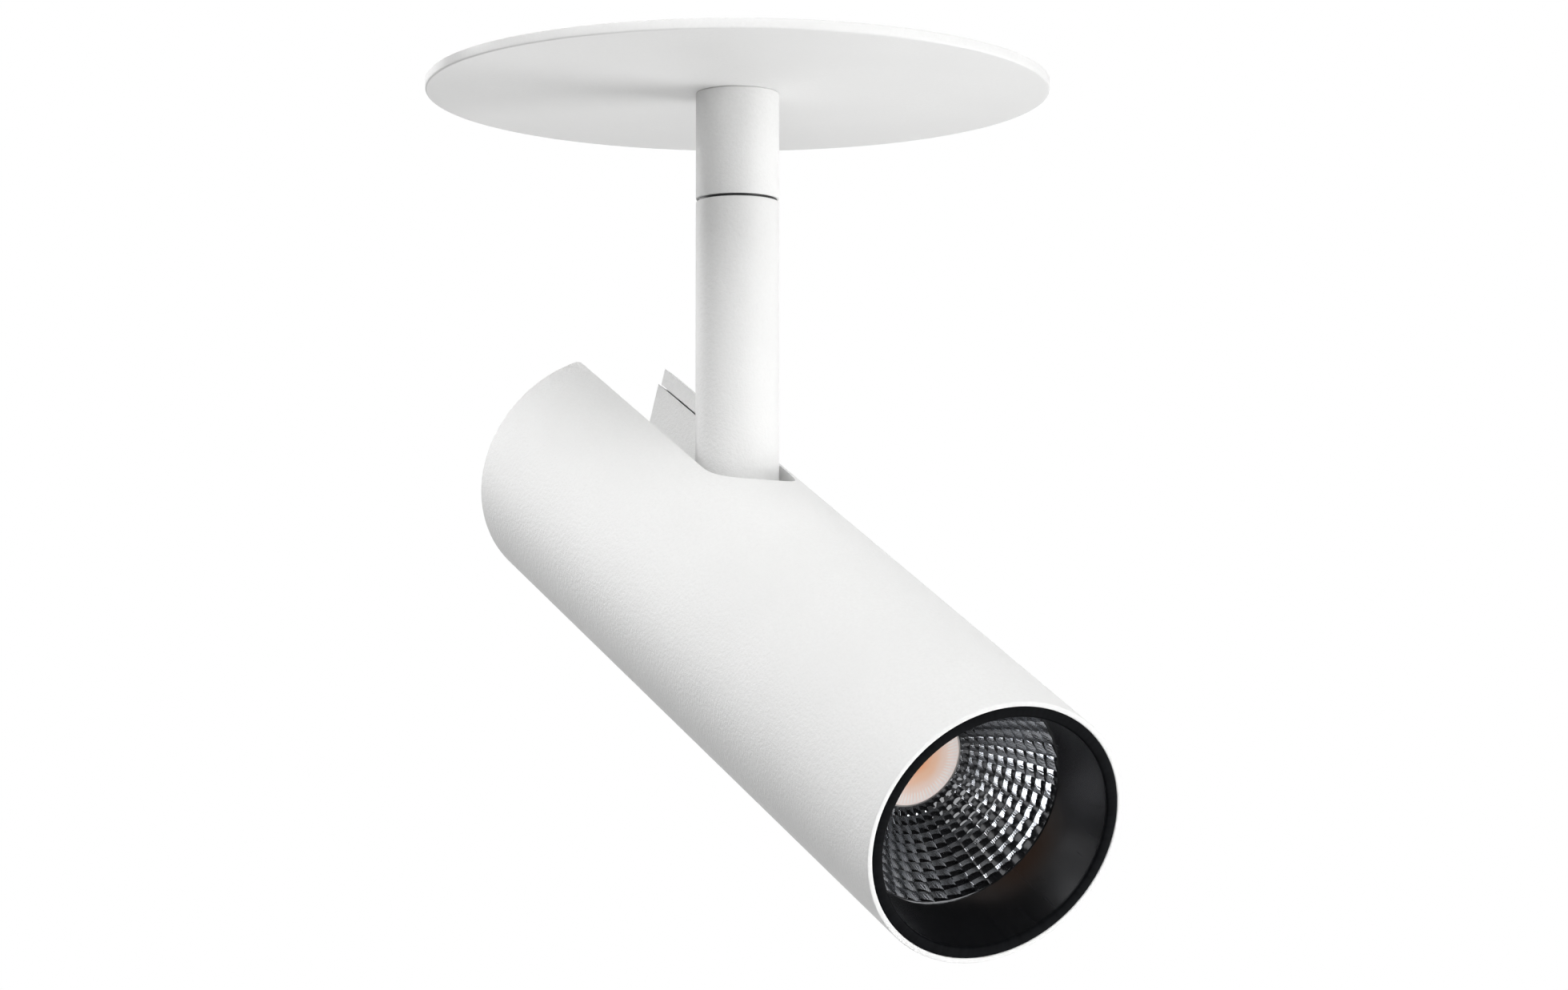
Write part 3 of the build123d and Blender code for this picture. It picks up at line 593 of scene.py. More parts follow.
FINISHES: dict[Slot, Finish] = {
    finish.slot: finish
    for finish in (
        PowderCoat(Slot.WHITE_COAT, grain_rise=0.010, peel_rise=0.010),
        PowderCoat(Slot.WHITE_ALUMINIUM),
        BlackCoat(),
        Moulded(Slot.BLACK_PLASTIC, (0.018, 0.018, 0.019), 0.42),
        PlatedSteel(Slot.STEEL),
        PlatedSteel(Slot.CAN_STEEL, (0.60, 0.61, 0.62), 7.0, 0.38, 5.0),
        PlatedSteel(Slot.BRASS, (0.78, 0.57, 0.26), 2.0, 0.28),
        Moulded(Slot.WHITE_PLASTIC, (0.74, 0.74, 0.72), 0.40),
        Moulded(Slot.NYLON, (0.62, 0.61, 0.57), 0.42, 0.3, 0.005),
        Moulded(Slot.RUBBER, (0.030, 0.030, 0.031), 0.62, 0.2, 0.012),
        Moulded(Slot.LEAD_SHEATH, (0.66, 0.66, 0.64), 0.36, 0.4, 0.004),
        Machined(Slot.ALUMINIUM),
        Moulded(Slot.PAD_GREY, (0.22, 0.23, 0.24), 0.70),
        Moulded(Slot.BOARD_WHITE, (0.76, 0.77, 0.76), 0.30, 0.15, 0.003),
        Phosphor(),
        MirrorMetal(),
    )
}


class Bench:
    """Modelling moves that the sub-assemblies share, in millimetres."""

    @staticmethod
    def clear() -> None:
        """Leave edit mode and deselect everything."""
        if bpy.context.object and bpy.context.object.mode != "OBJECT":
            bpy.ops.object.mode_set(mode="OBJECT")
        bpy.ops.object.select_all(action="DESELECT")

    @classmethod
    def hold(cls, piece: Piece) -> None:
        """Select one object alone and make it active."""
        cls.clear()
        piece.select_set(True)
        bpy.context.view_layer.objects.active = piece

    @staticmethod
    def placed() -> Piece:
        """New active object, with its place put into its mesh."""
        bpy.ops.object.transform_apply(location=True, rotation=True, scale=True)
        return bpy.context.active_object

    @classmethod
    def edit(cls, piece: Piece, mode: str = "FACE") -> None:
        """Enter edit mode, to select by VERT, EDGE or FACE."""
        cls.hold(piece)
        bpy.ops.object.mode_set(mode="EDIT")
        bpy.ops.mesh.select_mode(type=mode)

    @staticmethod
    def pick(piece: Piece, kind: str, wanted: Callable[[Any], bool]) -> None:
        """Select only the elements that are wanted, in edit mode.

        Args:
            piece: mesh object.
            kind: verts, edges or faces.
            wanted: test of one element.
        """
        bpy.ops.mesh.select_all(action="DESELECT")
        for item in getattr(bmesh.from_edit_mesh(piece.data), kind):
            if wanted(item):
                item.select_set(True)
        bmesh.update_edit_mesh(piece.data)

    @classmethod
    def draw(cls, points: Sequence[Pair]) -> Piece:
        """Draw a closed outline in the XZ plane, corner by corner.

        Args:
            points: its (x or radius, height) corners.

        Returns:
            The wire object, in edit mode.
        """
        cls.clear()
        corners = [Vector((across * MM, 0.0, height * MM)) for across, height in points]
        bpy.ops.mesh.primitive_plane_add(size=MM, location=corners[0])
        piece = cls.placed()
        cls.edit(piece, "VERT")
        bpy.ops.mesh.select_all(action="SELECT")
        bpy.ops.mesh.merge(type="CENTER")
        for here, there in zip(corners, corners[1:]):
            bpy.ops.mesh.extrude_region_move(TRANSFORM_OT_translate={"value": there - here})
        cls.pick(piece, "verts", lambda vert: len(vert.link_edges) == 1)
        bpy.ops.mesh.edge_face_add()
        return piece

    @classmethod
    def turn(cls, steps: int) -> None:
        """Turn what is drawn about Z and close it up."""
        bpy.ops.mesh.select_all(action="SELECT")
        bpy.ops.mesh.spin(steps=steps, angle=math.tau, center=(0, 0, 0), axis=(0, 0, 1))
        cls.close_up()

    @classmethod
    def lathe(
        cls, points: Sequence[Pair], rounds: Mapping[Pair, float] | None = None, *, steps: int
    ) -> Piece:
        """Turn a closed outline about Z.

        Args:
            points: its (radius, height) corners.
            rounds: corners to round, with their radius.
            steps: steps round the axis.

        Returns:
            The turned object, closed and smooth.
        """
        piece = cls.draw(points)
        for (radius, height), size in (rounds or {}).items():
            place = Vector((radius * MM, 0.0, height * MM))
            cls.pick(piece, "verts", lambda vert: (vert.co - place).length < SAME_PLACE)
            bpy.ops.mesh.bevel(offset=size * MM, segments=ROUND_STEPS, affect="VERTICES")
        cls.turn(steps)
        cls.smooth(piece)
        return piece

    @classmethod
    def prism(cls, points: Sequence[Pair], low: float, high: float) -> Piece:
        """Closed outline in the XZ plane, raised along Y.

        Args:
            points: its (x, z) corners.
            low: place of the first side along Y.
            high: place of the other side.

        Returns:
            The closed solid.
        """
        piece = cls.draw(points)
        bpy.ops.mesh.select_all(action="SELECT")
        bpy.ops.mesh.edge_face_add()
        bpy.ops.transform.translate(value=(0, low * MM, 0))
        bpy.ops.mesh.extrude_region_move(TRANSFORM_OT_translate={"value": (0, (high - low) * MM, 0)})
        cls.close_up()
        cls.clear()
        return piece

    @staticmethod
    def close_up() -> None:
        """Merge doubles and point all faces outwards, in edit mode."""
        bpy.ops.mesh.select_all(action="SELECT")
        bpy.ops.mesh.remove_doubles(threshold=SAME_PLACE)
        bpy.ops.mesh.normals_make_consistent(inside=False)
        bpy.ops.mesh.select_all(action="DESELECT")

    @staticmethod
    def inset(margin: float, rise: float) -> None:
        """Inset each face that is selected by a margin, and raise it."""
        bpy.ops.mesh.inset(thickness=margin * MM, depth=rise * MM, use_individual=True)

    @classmethod
    def smooth(cls, piece: Piece, angle: float = 31.0) -> None:
        """Shade smooth below an angle between faces, in degrees."""
        cls.hold(piece)
        bpy.ops.object.shade_smooth_by_angle(angle=math.radians(angle))

    @classmethod
    def apply(cls, piece: Piece, kind: str, settings: Mapping[str, Any]) -> None:
        """Add a modifier and apply it.

        Args:
            piece: mesh object.
            kind: the modifier's type.
            settings: its properties.
        """
        cls.hold(piece)
        modifier = piece.modifiers.new(kind.lower(), kind)
        for name, value in settings.items():
            setattr(modifier, name, value)
        bpy.ops.object.modifier_apply(modifier=modifier.name)

    @classmethod
    def disc(cls, radius: float, height: float, sides: int) -> Piece:
        """Level disc, in metres."""
        cls.clear()
        bpy.ops.mesh.primitive_circle_add(
            vertices=sides, radius=radius, fill_type="NGON", location=(0, 0, height)
        )
        return cls.placed()

    @classmethod
    def bar(cls, radius: float, length: float, place: Matrix, sides: int) -> Piece:
        """Round bar along the Z of a place.

        Args:
            radius: its radius.
            length: its length.
            place: where its start is.
            sides: steps round it.

        Returns:
            The bar.
        """
        cls.clear()
        bpy.ops.mesh.primitive_cylinder_add(
            vertices=sides, radius=radius * MM, depth=length * MM, location=(0, 0, length * MM / 2)
        )
        piece = cls.placed()
        piece.data.transform(place)
        return piece

    @staticmethod
    def thread(radius: float, low: float, high: float, pitch: float, depth: float) -> list[Pair]:
        """Outline of a threaded length, from its low end to its high end.

        Args:
            radius: radius over the thread.
            low: height of its low end.
            high: height of its high end.
            pitch: spacing of its turns.
            depth: depth of its turns.

        Returns:
            Crest and root points by turns.
        """
        turns = max(1, round((high - low) / pitch))
        step = (high - low) / turns
        heights = [low + step * half / 2 for half in range(2 * turns)]
        outline = [(radius - depth * (half % 2), height) for half, height in enumerate(heights)]
        return [*outline, (radius, high)]

    @classmethod
    def block(cls, low: Triple, high: Triple) -> Piece:
        """Box between two corners.

        Args:
            low: lowest corner.
            high: highest corner.

        Returns:
            The box.
        """
        cls.clear()
        bpy.ops.mesh.primitive_cube_add(size=1.0)
        piece = bpy.context.active_object
        piece.scale = [(end - start) * MM for start, end in zip(low, high)]
        piece.location = [(start + end) / 2 * MM for start, end in zip(low, high)]
        return cls.placed()

    @classmethod
    def cut(cls, piece: Piece, tools: Sequence[Piece]) -> None:
        """Cut tool shapes out of a piece, remove the tools and smooth the piece."""
        for tool in tools:
            cls.apply(piece, "BOOLEAN", {"object": tool, "operation": "DIFFERENCE", "solver": "EXACT"})
            bpy.data.objects.remove(tool)
        cls.smooth(piece)

    @classmethod
    def join(cls, piece: Piece, others: Sequence[Piece]) -> None:
        """Join other objects into a piece."""
        cls.hold(piece)
        for other in others:
            other.select_set(True)
        bpy.ops.object.join()

    @classmethod
    def copies(cls, piece: Piece, places: Sequence[Matrix]) -> Piece:
        """Copy a piece to several places as one object, each copy with its own mesh.

        Args:
            piece: model of the copies, which is used up.
            places: where the copies go.

        Returns:
            The object that holds all copies.
        """
        made = []
        for place in places:
            twin = piece.copy()
            twin.data = piece.data.copy()
            twin.data.transform(place)
            bpy.context.scene.collection.objects.link(twin)
            made.append(twin)
        bpy.data.objects.remove(piece)
        cls.join(made[0], made[1:])
        return made[0]


class Assembly(ABC):
    """Sub-assembly that builds its own meshes and dresses them."""

    @abstractmethod
    def build(self) -> None:
        """Build and dress every piece."""

    @staticmethod
    def dress(
        piece: Piece, name: str, slot: Slot, body: Body, *nodes: str, place: Matrix | None = None
    ) -> None:
        """Give a finished piece its name, its finish, its body and the nodes that it stands for.

        Args:
            piece: finished mesh object.
            name: its name.
            slot: material slot of its finish.
            body: body that it moves with.
            nodes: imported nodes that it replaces.
            place: frame that it was modelled in.
        """
        Bench.clear()
        piece.name = piece.data.name = name
        if place is not None:
            piece.data.transform(place)
        piece.data.materials.clear()
        piece.data.materials.append(FINISHES[slot].material())
        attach(piece, body.value)
        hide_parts(*nodes)
        LOG.info("%s: %d faces, rides on %s", piece.name, len(piece.data.polygons), body.value)


@dataclass
class CeilingPlate(Assembly):
    """Round plate under the ceiling, with its pocket and welded studs."""

    radius: float = 60.0
    thickness: float = 2.0
    edge_round: float = 0.4
    rim_round: float = 0.15
    pocket_radius: float = 40.1
    pocket_depth: float = 0.4
    hole_radius: float = 6.1
    stud_radius: float = 1.5
    stud_rise: float = 4.6
    stud_sunk: float = 0.2
    stud_taper: float = 0.5
    stud_thread: Triple = (0.2, 0.5, 0.18)
    stud_circle: float = 33.5
    stud_count: int = 4

    def build(self) -> None:
        """Build the plate."""
        low, floor = -self.thickness, -self.pocket_depth
        outline = [
            (self.hole_radius, low), (self.radius, low), (self.radius, 0.0), (self.pocket_radius, 0.0),
            (self.pocket_radius, floor), (self.hole_radius, floor),
        ]
        rounds = {(self.radius, low): self.edge_round, (self.radius, 0.0): self.rim_round}
        plate = Bench.lathe(outline, rounds, steps=288)
        stud = Bench.lathe(self._stud_outline(), steps=32)
        half = 180 / self.stud_count
        ring = arc((0.0, 0.0), self.stud_circle, half, 360 - half, self.stud_count - 1)
        Bench.join(plate, [Bench.copies(stud, [at(x, y, 0) for x, y in ring])])
        self.dress(plate, "plate_disc", Slot.WHITE_COAT, Body.MOUNT, "ceiling_plate")

    def _stud_outline(self) -> list[Pair]:
        """Stud with a thread of shallow grooves and a tapered end.

        Returns:
            Its outline.
        """
        top = self.stud_rise - self.pocket_depth
        foot = -self.pocket_depth - self.stud_sunk
        start, pitch, depth = self.stud_thread
        return [
            (0.0, foot), (self.stud_radius, foot),
            *Bench.thread(self.stud_radius, start, top - self.stud_taper, pitch, depth),
            (self.stud_radius - self.stud_taper, top), (0.0, top),
        ]


@dataclass
class Head(Assembly):
    """Slotted tube of the head."""

    radius: float = 25.0
    bore: float = 22.0
    mouth_bore: float = 24.0
    ahead: float = 111.9
    behind: float = 59.35
    mouth_step: float = 95.66
    mouth_round: float = 0.22
    rear_round: float = 0.3
    slot_radius: float = 9.4
    slot_floor: float = 3.998
    nose_back: float = 1.0
    nose_steps: int = 72
    corner_round: float = 1.5
    corner_steps: int = 8
    set_screw_bore: float = 1.55
    set_screw_z: float = 74.61
    drill_length: float = 40.0

    def build(self) -> None:
        """Build the tube."""
        outline = [
            (self.radius, -self.behind), (self.radius, self.ahead), (self.mouth_bore, self.ahead),
            (self.mouth_bore, self.mouth_step), (self.bore, self.mouth_step), (self.bore, -self.behind),
        ]
        rounds = {
            outline[1]: self.mouth_round, outline[2]: self.mouth_round, outline[0]: self.rear_round,
            outline[5]: self.rear_round,
        }
        tube = Bench.lathe(outline, rounds, steps=256)
        drills = [
            Bench.bar(self.set_screw_bore, self.drill_length, place, sides=48)
            for place in (at(0, 0, self.set_screw_z) @ turned(90, axis) for axis in ("Y", "X"))
        ]
        Bench.cut(tube, [self._slot_tool(), *drills])
        self.dress(tube, "head_tube", Slot.WHITE_ALUMINIUM, Body.HEAD, "head_housing", place=HEAD_PLACE)

    def _slot_tool(self) -> Piece:
        """Upright cutter with a round front end, flared where it leaves the rear end.

        Returns:
            The cutter.
        """
        corner = (self.slot_radius + self.corner_round, self.corner_round - self.behind)
        flare = arc(corner, self.corner_round, 180, 270, self.corner_steps)
        flare.append((corner[0], -self.behind - OVERRUN))
        nose = arc((0.0, -self.nose_back), self.slot_radius, 0, 180, self.nose_steps)
        outline = [*flare[::-1], *nose, *((-x, z) for x, z in flare)]
        return Bench.prism(outline, self.slot_floor, self.radius + OVERRUN)


@dataclass
class Stem(Assembly):
    """Fixed neck under the plate and the turning length below it."""

    radius: float = 8.0
    edge_round: float = 0.25
    top_round: float = 0.3
    foot_round: float = 0.15
    plate_under: float = -2.0
    seam: float = -22.7
    neck_bore: float = 4.05
    spigot_radius: float = 6.0
    spigot_top: float = 6.0
    thread_ends: Pair = (0.6, 0.3)
    thread_pitch: float = 0.75
    thread_depth: float = 0.22
    taper: float = 0.4
    sleeve_top: float = -23.2
    sleeve_foot: float = -78.4
    sleeve_bore: float = 6.5
    stop_screw_z: float = -12.0
    stop_screw_bore: float = 1.3
    steps: int = 128

    def build(self) -> None:
        """Build both lengths."""
        self._neck()
        self._sleeve()

    def _neck(self) -> None:
        """Neck with its threaded spigot and the hole of its stop screw."""
        first, last = self.plate_under + self.thread_ends[0], self.spigot_top - self.thread_ends[1]
        outline = [
            (self.neck_bore, self.seam), (self.radius, self.seam), (self.radius, self.plate_under),
            (self.spigot_radius, self.plate_under),
            *Bench.thread(self.spigot_radius, first, last, self.thread_pitch, self.thread_depth),
            (self.spigot_radius - self.taper, self.spigot_top), (self.neck_bore, self.spigot_top),
        ]
        rounds = {outline[1]: self.edge_round, outline[2]: self.top_round}
        neck = Bench.lathe(outline, rounds, steps=self.steps)
        place = at(0, 0, self.stop_screw_z) @ turned(-90, "X")
        Bench.cut(neck, [Bench.bar(self.stop_screw_bore, self.radius + OVERRUN, place, sides=32)])
        self.dress(neck, "stem_collar", Slot.WHITE_ALUMINIUM, Body.MOUNT, "stem_neck")

    def _sleeve(self) -> None:
        """Lower length, a plain tube with broken edges."""
        outline = [
            (self.sleeve_bore, self.sleeve_foot), (self.radius, self.sleeve_foot),
            (self.radius, self.sleeve_top), (self.sleeve_bore, self.sleeve_top),
        ]
        rounds = {outline[1]: self.foot_round, outline[2]: self.edge_round}
        sleeve = Bench.lathe(outline, rounds, steps=self.steps)
        self.dress(sleeve, "stem_sleeve", Slot.WHITE_ALUMINIUM, Body.STEM, "stem_tube")


@dataclass
class Baffle(Assembly):
    """Black ring and cone in the mouth."""

    outer: float = 23.95
    lip: float = 22.0
    throat: float = 20.6
    front: float = 111.9
    back: float = 96.66
    groove_floor: float = 22.7
    groove: Pair = (104.2, 105.6)
    lip_round: float = 0.35
    outer_round: float = 0.15

    def build(self) -> None:
        """Build the baffle."""
        low, high = self.groove
        outline = [
            (self.outer, self.back), (self.outer, low), (self.groove_floor, low), (self.groove_floor, high),
            (self.outer, high), (self.outer, self.front), (self.lip, self.front), (self.throat, self.back),
        ]
        rounds = {outline[6]: self.lip_round, outline[5]: self.outer_round}
        piece = Bench.lathe(outline, rounds, steps=256)
        self.dress(piece, "mouth_baffle", Slot.BLACK_COAT, Body.HEAD, "front_baffle", place=HEAD_PLACE)


@dataclass
class Reflector(Assembly):
    """Faceted metalised bowl with its flange."""

    columns: int = 46
    bands: int = 10
    base_radius: float = 9.159
    mouth_radius: float = 20.42
    base: float = 81.06
    mouth: float = 96.66
    wall: float = 1.0
    flange_radius: float = 23.9
    first_share: float = 0.075
    last_share: float = 0.125
    pillow: tuple[Pair, ...] = ((0.20, 0.050), (0.28, 0.045), (0.26, 0.018))
    smooth_angle: float = 24.0

    def build(self) -> None:
        """Build the bowl, and raise a cushion on every facet in steps of (margin, rise)."""
        bowl = self._bowl()
        outline = bowl + [
            (self.flange_radius, self.mouth), (self.flange_radius, self.mouth - self.wall),
            (self.mouth_radius + self.wall, self.mouth - self.wall),
            *((radius + self.wall, height) for radius, height in bowl[-3::-1]),
        ]
        piece = Bench.draw(outline)
        Bench.turn(self.columns)
        bpy.ops.mesh.select_mode(type="FACE")
        Bench.pick(piece, "faces", self._is_facet)
        for margin, rise in self.pillow:
            Bench.inset(margin, rise)
        Bench.smooth(piece, self.smooth_angle)
        self.dress(piece, "faceted_bowl", Slot.MIRROR_METAL, Body.HEAD, "reflector", place=HEAD_PLACE)

    def _bowl(self) -> list[Pair]:
        """Outline of the bowl, base to mouth, in bands that grow towards the mouth.

        Returns:
            The outline.
        """
        growth = (self.last_share - self.first_share) / (self.bands - 1)
        shares = [self.first_share + growth * step for step in range(self.bands)]
        outline = []
        for step in range(self.bands + 1):
            share = sum(shares[:step]) / sum(shares)
            square = self.base_radius**2 + (self.mouth_radius**2 - self.base_radius**2) * share
            outline.append((math.sqrt(square), self.base + (self.mouth - self.base) * share))
        return outline

    def _is_facet(self, face: bmesh.types.BMFace) -> bool:
        """Whether a face lies on the inside of the bowl.

        Args:
            face: face of the bowl.

        Returns:
            Whether it is a facet.
        """
        middle = face.calc_center_median()
        inward = face.normal.x * middle.x + face.normal.y * middle.y < 0
        within = math.hypot(middle.x, middle.y) < self.mouth_radius * MM
        return inward and within and self.base < middle.z / MM < self.mouth


@dataclass
class Emitter(Assembly):
    """Soft disc over the light source, with fine ribs round its edge."""

    radius: float = 8.9
    back: float = 80.41
    front: float = 80.97
    edge: Pair = (0.25, 0.08)
    ribs: int = 76
    rib_middle: float = 3.9
    rib_inner: float = 6.5
    rib_outer: float = 8.3
    rib_margin: float = 0.03
    rib_rise: float = 0.035

    def build(self) -> None:
        """Build the disc."""
        outline = [
            (0.0, self.back), (self.radius, self.back), (self.radius, self.front - self.edge[1]),
            (self.radius - self.edge[0], self.front),
            *((radius, self.front) for radius in (self.rib_outer, self.rib_inner, self.rib_middle, 0.0)),
        ]
        piece = Bench.lathe(outline, steps=2 * self.ribs)
        Bench.edit(piece)
        Bench.pick(piece, "faces", self._is_rib)
        Bench.inset(self.rib_margin, self.rib_rise)
        self.dress(piece, "light_disc", Slot.PHOSPHOR, Body.HEAD, "led_emitter", place=HEAD_PLACE)

    def _is_rib(self, face: bmesh.types.BMFace) -> bool:
        """Whether a face is every second one in the band of ribs.

        Args:
            face: face of the disc.

        Returns:
            Whether it is a rib.
        """
        middle = face.calc_center_median()
        radius = math.hypot(middle.x, middle.y) / MM
        step = math.floor(math.atan2(middle.y, middle.x) / math.tau * self.ribs * 2)
        return face.normal.z > FLAT and self.rib_inner < radius < self.rib_outer and step % 2 == 0


@dataclass
class CanTop(Assembly):
    """Lid of the can with its pressed ring, its two screws and the grommet of its cord inlet."""

    radius: float = 40.0
    under: float = 25.6
    thickness: float = 1.0
    rim_round: float = 0.3
    skirt_outer: float = 38.7
    skirt_inner: float = 37.7
    skirt_low: float = 22.6
    tab_half: float = 4.7
    tab_gap: float = 0.001
    bead_middle: float = 29.4
    bead_half: float = 1.7
    bead_slope: float = 0.68
    bead_rise: float = 0.5
    bead_round: float = 0.25
    drill_low: float = 20.0
    drill_length: float = 10.0
    screw_place: float = 34.8
    screw_hole: float = 1.7
    screw_turn: float = 0.4
    screw_radius: float = 1.5
    screw_length: float = 6.0
    screw_taper: float = 0.4
    thread_pitch: float = 0.5
    thread_depth: float = 0.2
    dome_radius: float = 2.75
    dome_rise: float = 1.8
    dome_round: float = 0.15
    dome: tuple[Pair, ...] = ((1.0, 0.45), (0.86, 0.75), (0.55, 0.94), (0.0, 1.0))
    recess: Triple = (1.705, 0.32, 1.1)
    inlet_place: float = 18.0
    inlet_hole: float = 5.55
    inlet_bore: float = 3.5
    inlet_waist: float = 5.5
    inlet_flange: float = 7.0
    inlet_lip: float = 1.5
    inlet_round: float = 0.45

    def build(self) -> None:
        """Build the lid, its screws and its grommet."""
        self._lid()
        self._screws()
        self._grommet()

    def _lid(self) -> None:
        """Lid with a skirt that is notched for the can's tabs."""
        top = self.under + self.thickness
        near, far = self.bead_middle - self.bead_half, self.bead_middle + self.bead_half
        crest = [(near + self.bead_slope, self.bead_rise), (far - self.bead_slope, self.bead_rise)]
        bead = [(near, 0.0), *crest, (far, 0.0)]
        outline = [
            (0.0, self.under), *((radius, self.under + rise) for radius, rise in bead),
            (self.skirt_inner, self.under), (self.skirt_inner, self.skirt_low),
            (self.skirt_outer, self.skirt_low), (self.skirt_outer, self.under), (self.radius, self.under),
            (self.radius, top), *((radius, top + rise) for radius, rise in bead[::-1]), (0.0, top),
        ]
        rounds = {(self.radius, top): self.rim_round}
        rounds.update({(radius, top + rise): self.bead_round for radius, rise in crest})
        lid = Bench.lathe(outline, rounds, steps=192)
        notch = [
            (-self.tab_half, -self.radius, self.skirt_low - OVERRUN),
            (self.tab_half, self.radius, self.under - self.tab_gap),
        ]
        tools = [self._drill(self.inlet_hole, (self.inlet_place, 0.0), 96), Bench.block(*notch)]
        for side in (-1, 1):
            tools.append(self._drill(self.screw_hole, (0.0, side * self.screw_place), 32))
        Bench.cut(lid, tools)
        self.dress(lid, "can_cover", Slot.CAN_STEEL, Body.MOUNT, "can_lid")

    def _drill(self, radius: float, place: Pair, sides: int) -> Piece:
        """Upright drill through the lid."""
        return Bench.bar(radius, self.drill_length, at(*place, self.drill_low), sides)

    def _screws(self) -> None:
        """Domed screws with a cross recess and a cut thread."""
        seat = self.under + self.thickness
        foot, top = seat - self.screw_length, seat + self.dome_rise
        first, last = foot + self.screw_taper, seat - self.screw_taper
        outline = [
            (0.0, foot), (self.screw_radius - self.screw_taper, foot),
            *Bench.thread(self.screw_radius, first, last, self.thread_pitch, self.thread_depth),
            (self.screw_radius, seat), (self.dome_radius, seat),
            *((self.dome_radius * out, seat + self.dome_rise * rise) for out, rise in self.dome),
        ]
        screw = Bench.lathe(outline, {(self.dome_radius, seat): self.dome_round}, steps=48)
        arm, half, depth = self.recess
        tools = [
            Bench.block((-x, -y, top - depth), (x, y, top + OVERRUN))
            for x, y in ((arm, half), (half, arm))
        ]
        Bench.cut(screw, tools)
        places = [
            at(0, side * self.screw_place, 0) @ Matrix.Rotation(side * self.screw_turn, 4, "Z")
            for side in (-1, 1)
        ]
        self.dress(Bench.copies(screw, places), "cover_screws", Slot.STEEL, Body.MOUNT, "lid_screws")

    def _grommet(self) -> None:
        """Rubber grommet with two rounded flanges."""
        top = self.under + self.thickness
        low, high = self.under - self.inlet_lip, top + self.inlet_lip
        waist = [(self.inlet_waist, self.under), (self.inlet_waist, top)]
        under = [(self.inlet_bore, low), (self.inlet_flange, low), (self.inlet_flange, self.under)]
        over = [(self.inlet_flange, top), (self.inlet_flange, high), (self.inlet_bore, high)]
        rounds = {corner: self.inlet_round for corner in (*under[1:], *over, under[0])}
        grommet = Bench.lathe([*under, *waist, *over], rounds, steps=96)
        place = at(self.inlet_place, 0, 0)
        self.dress(grommet, "inlet_bush", Slot.RUBBER, Body.MOUNT, "inlet_grommet", place=place)


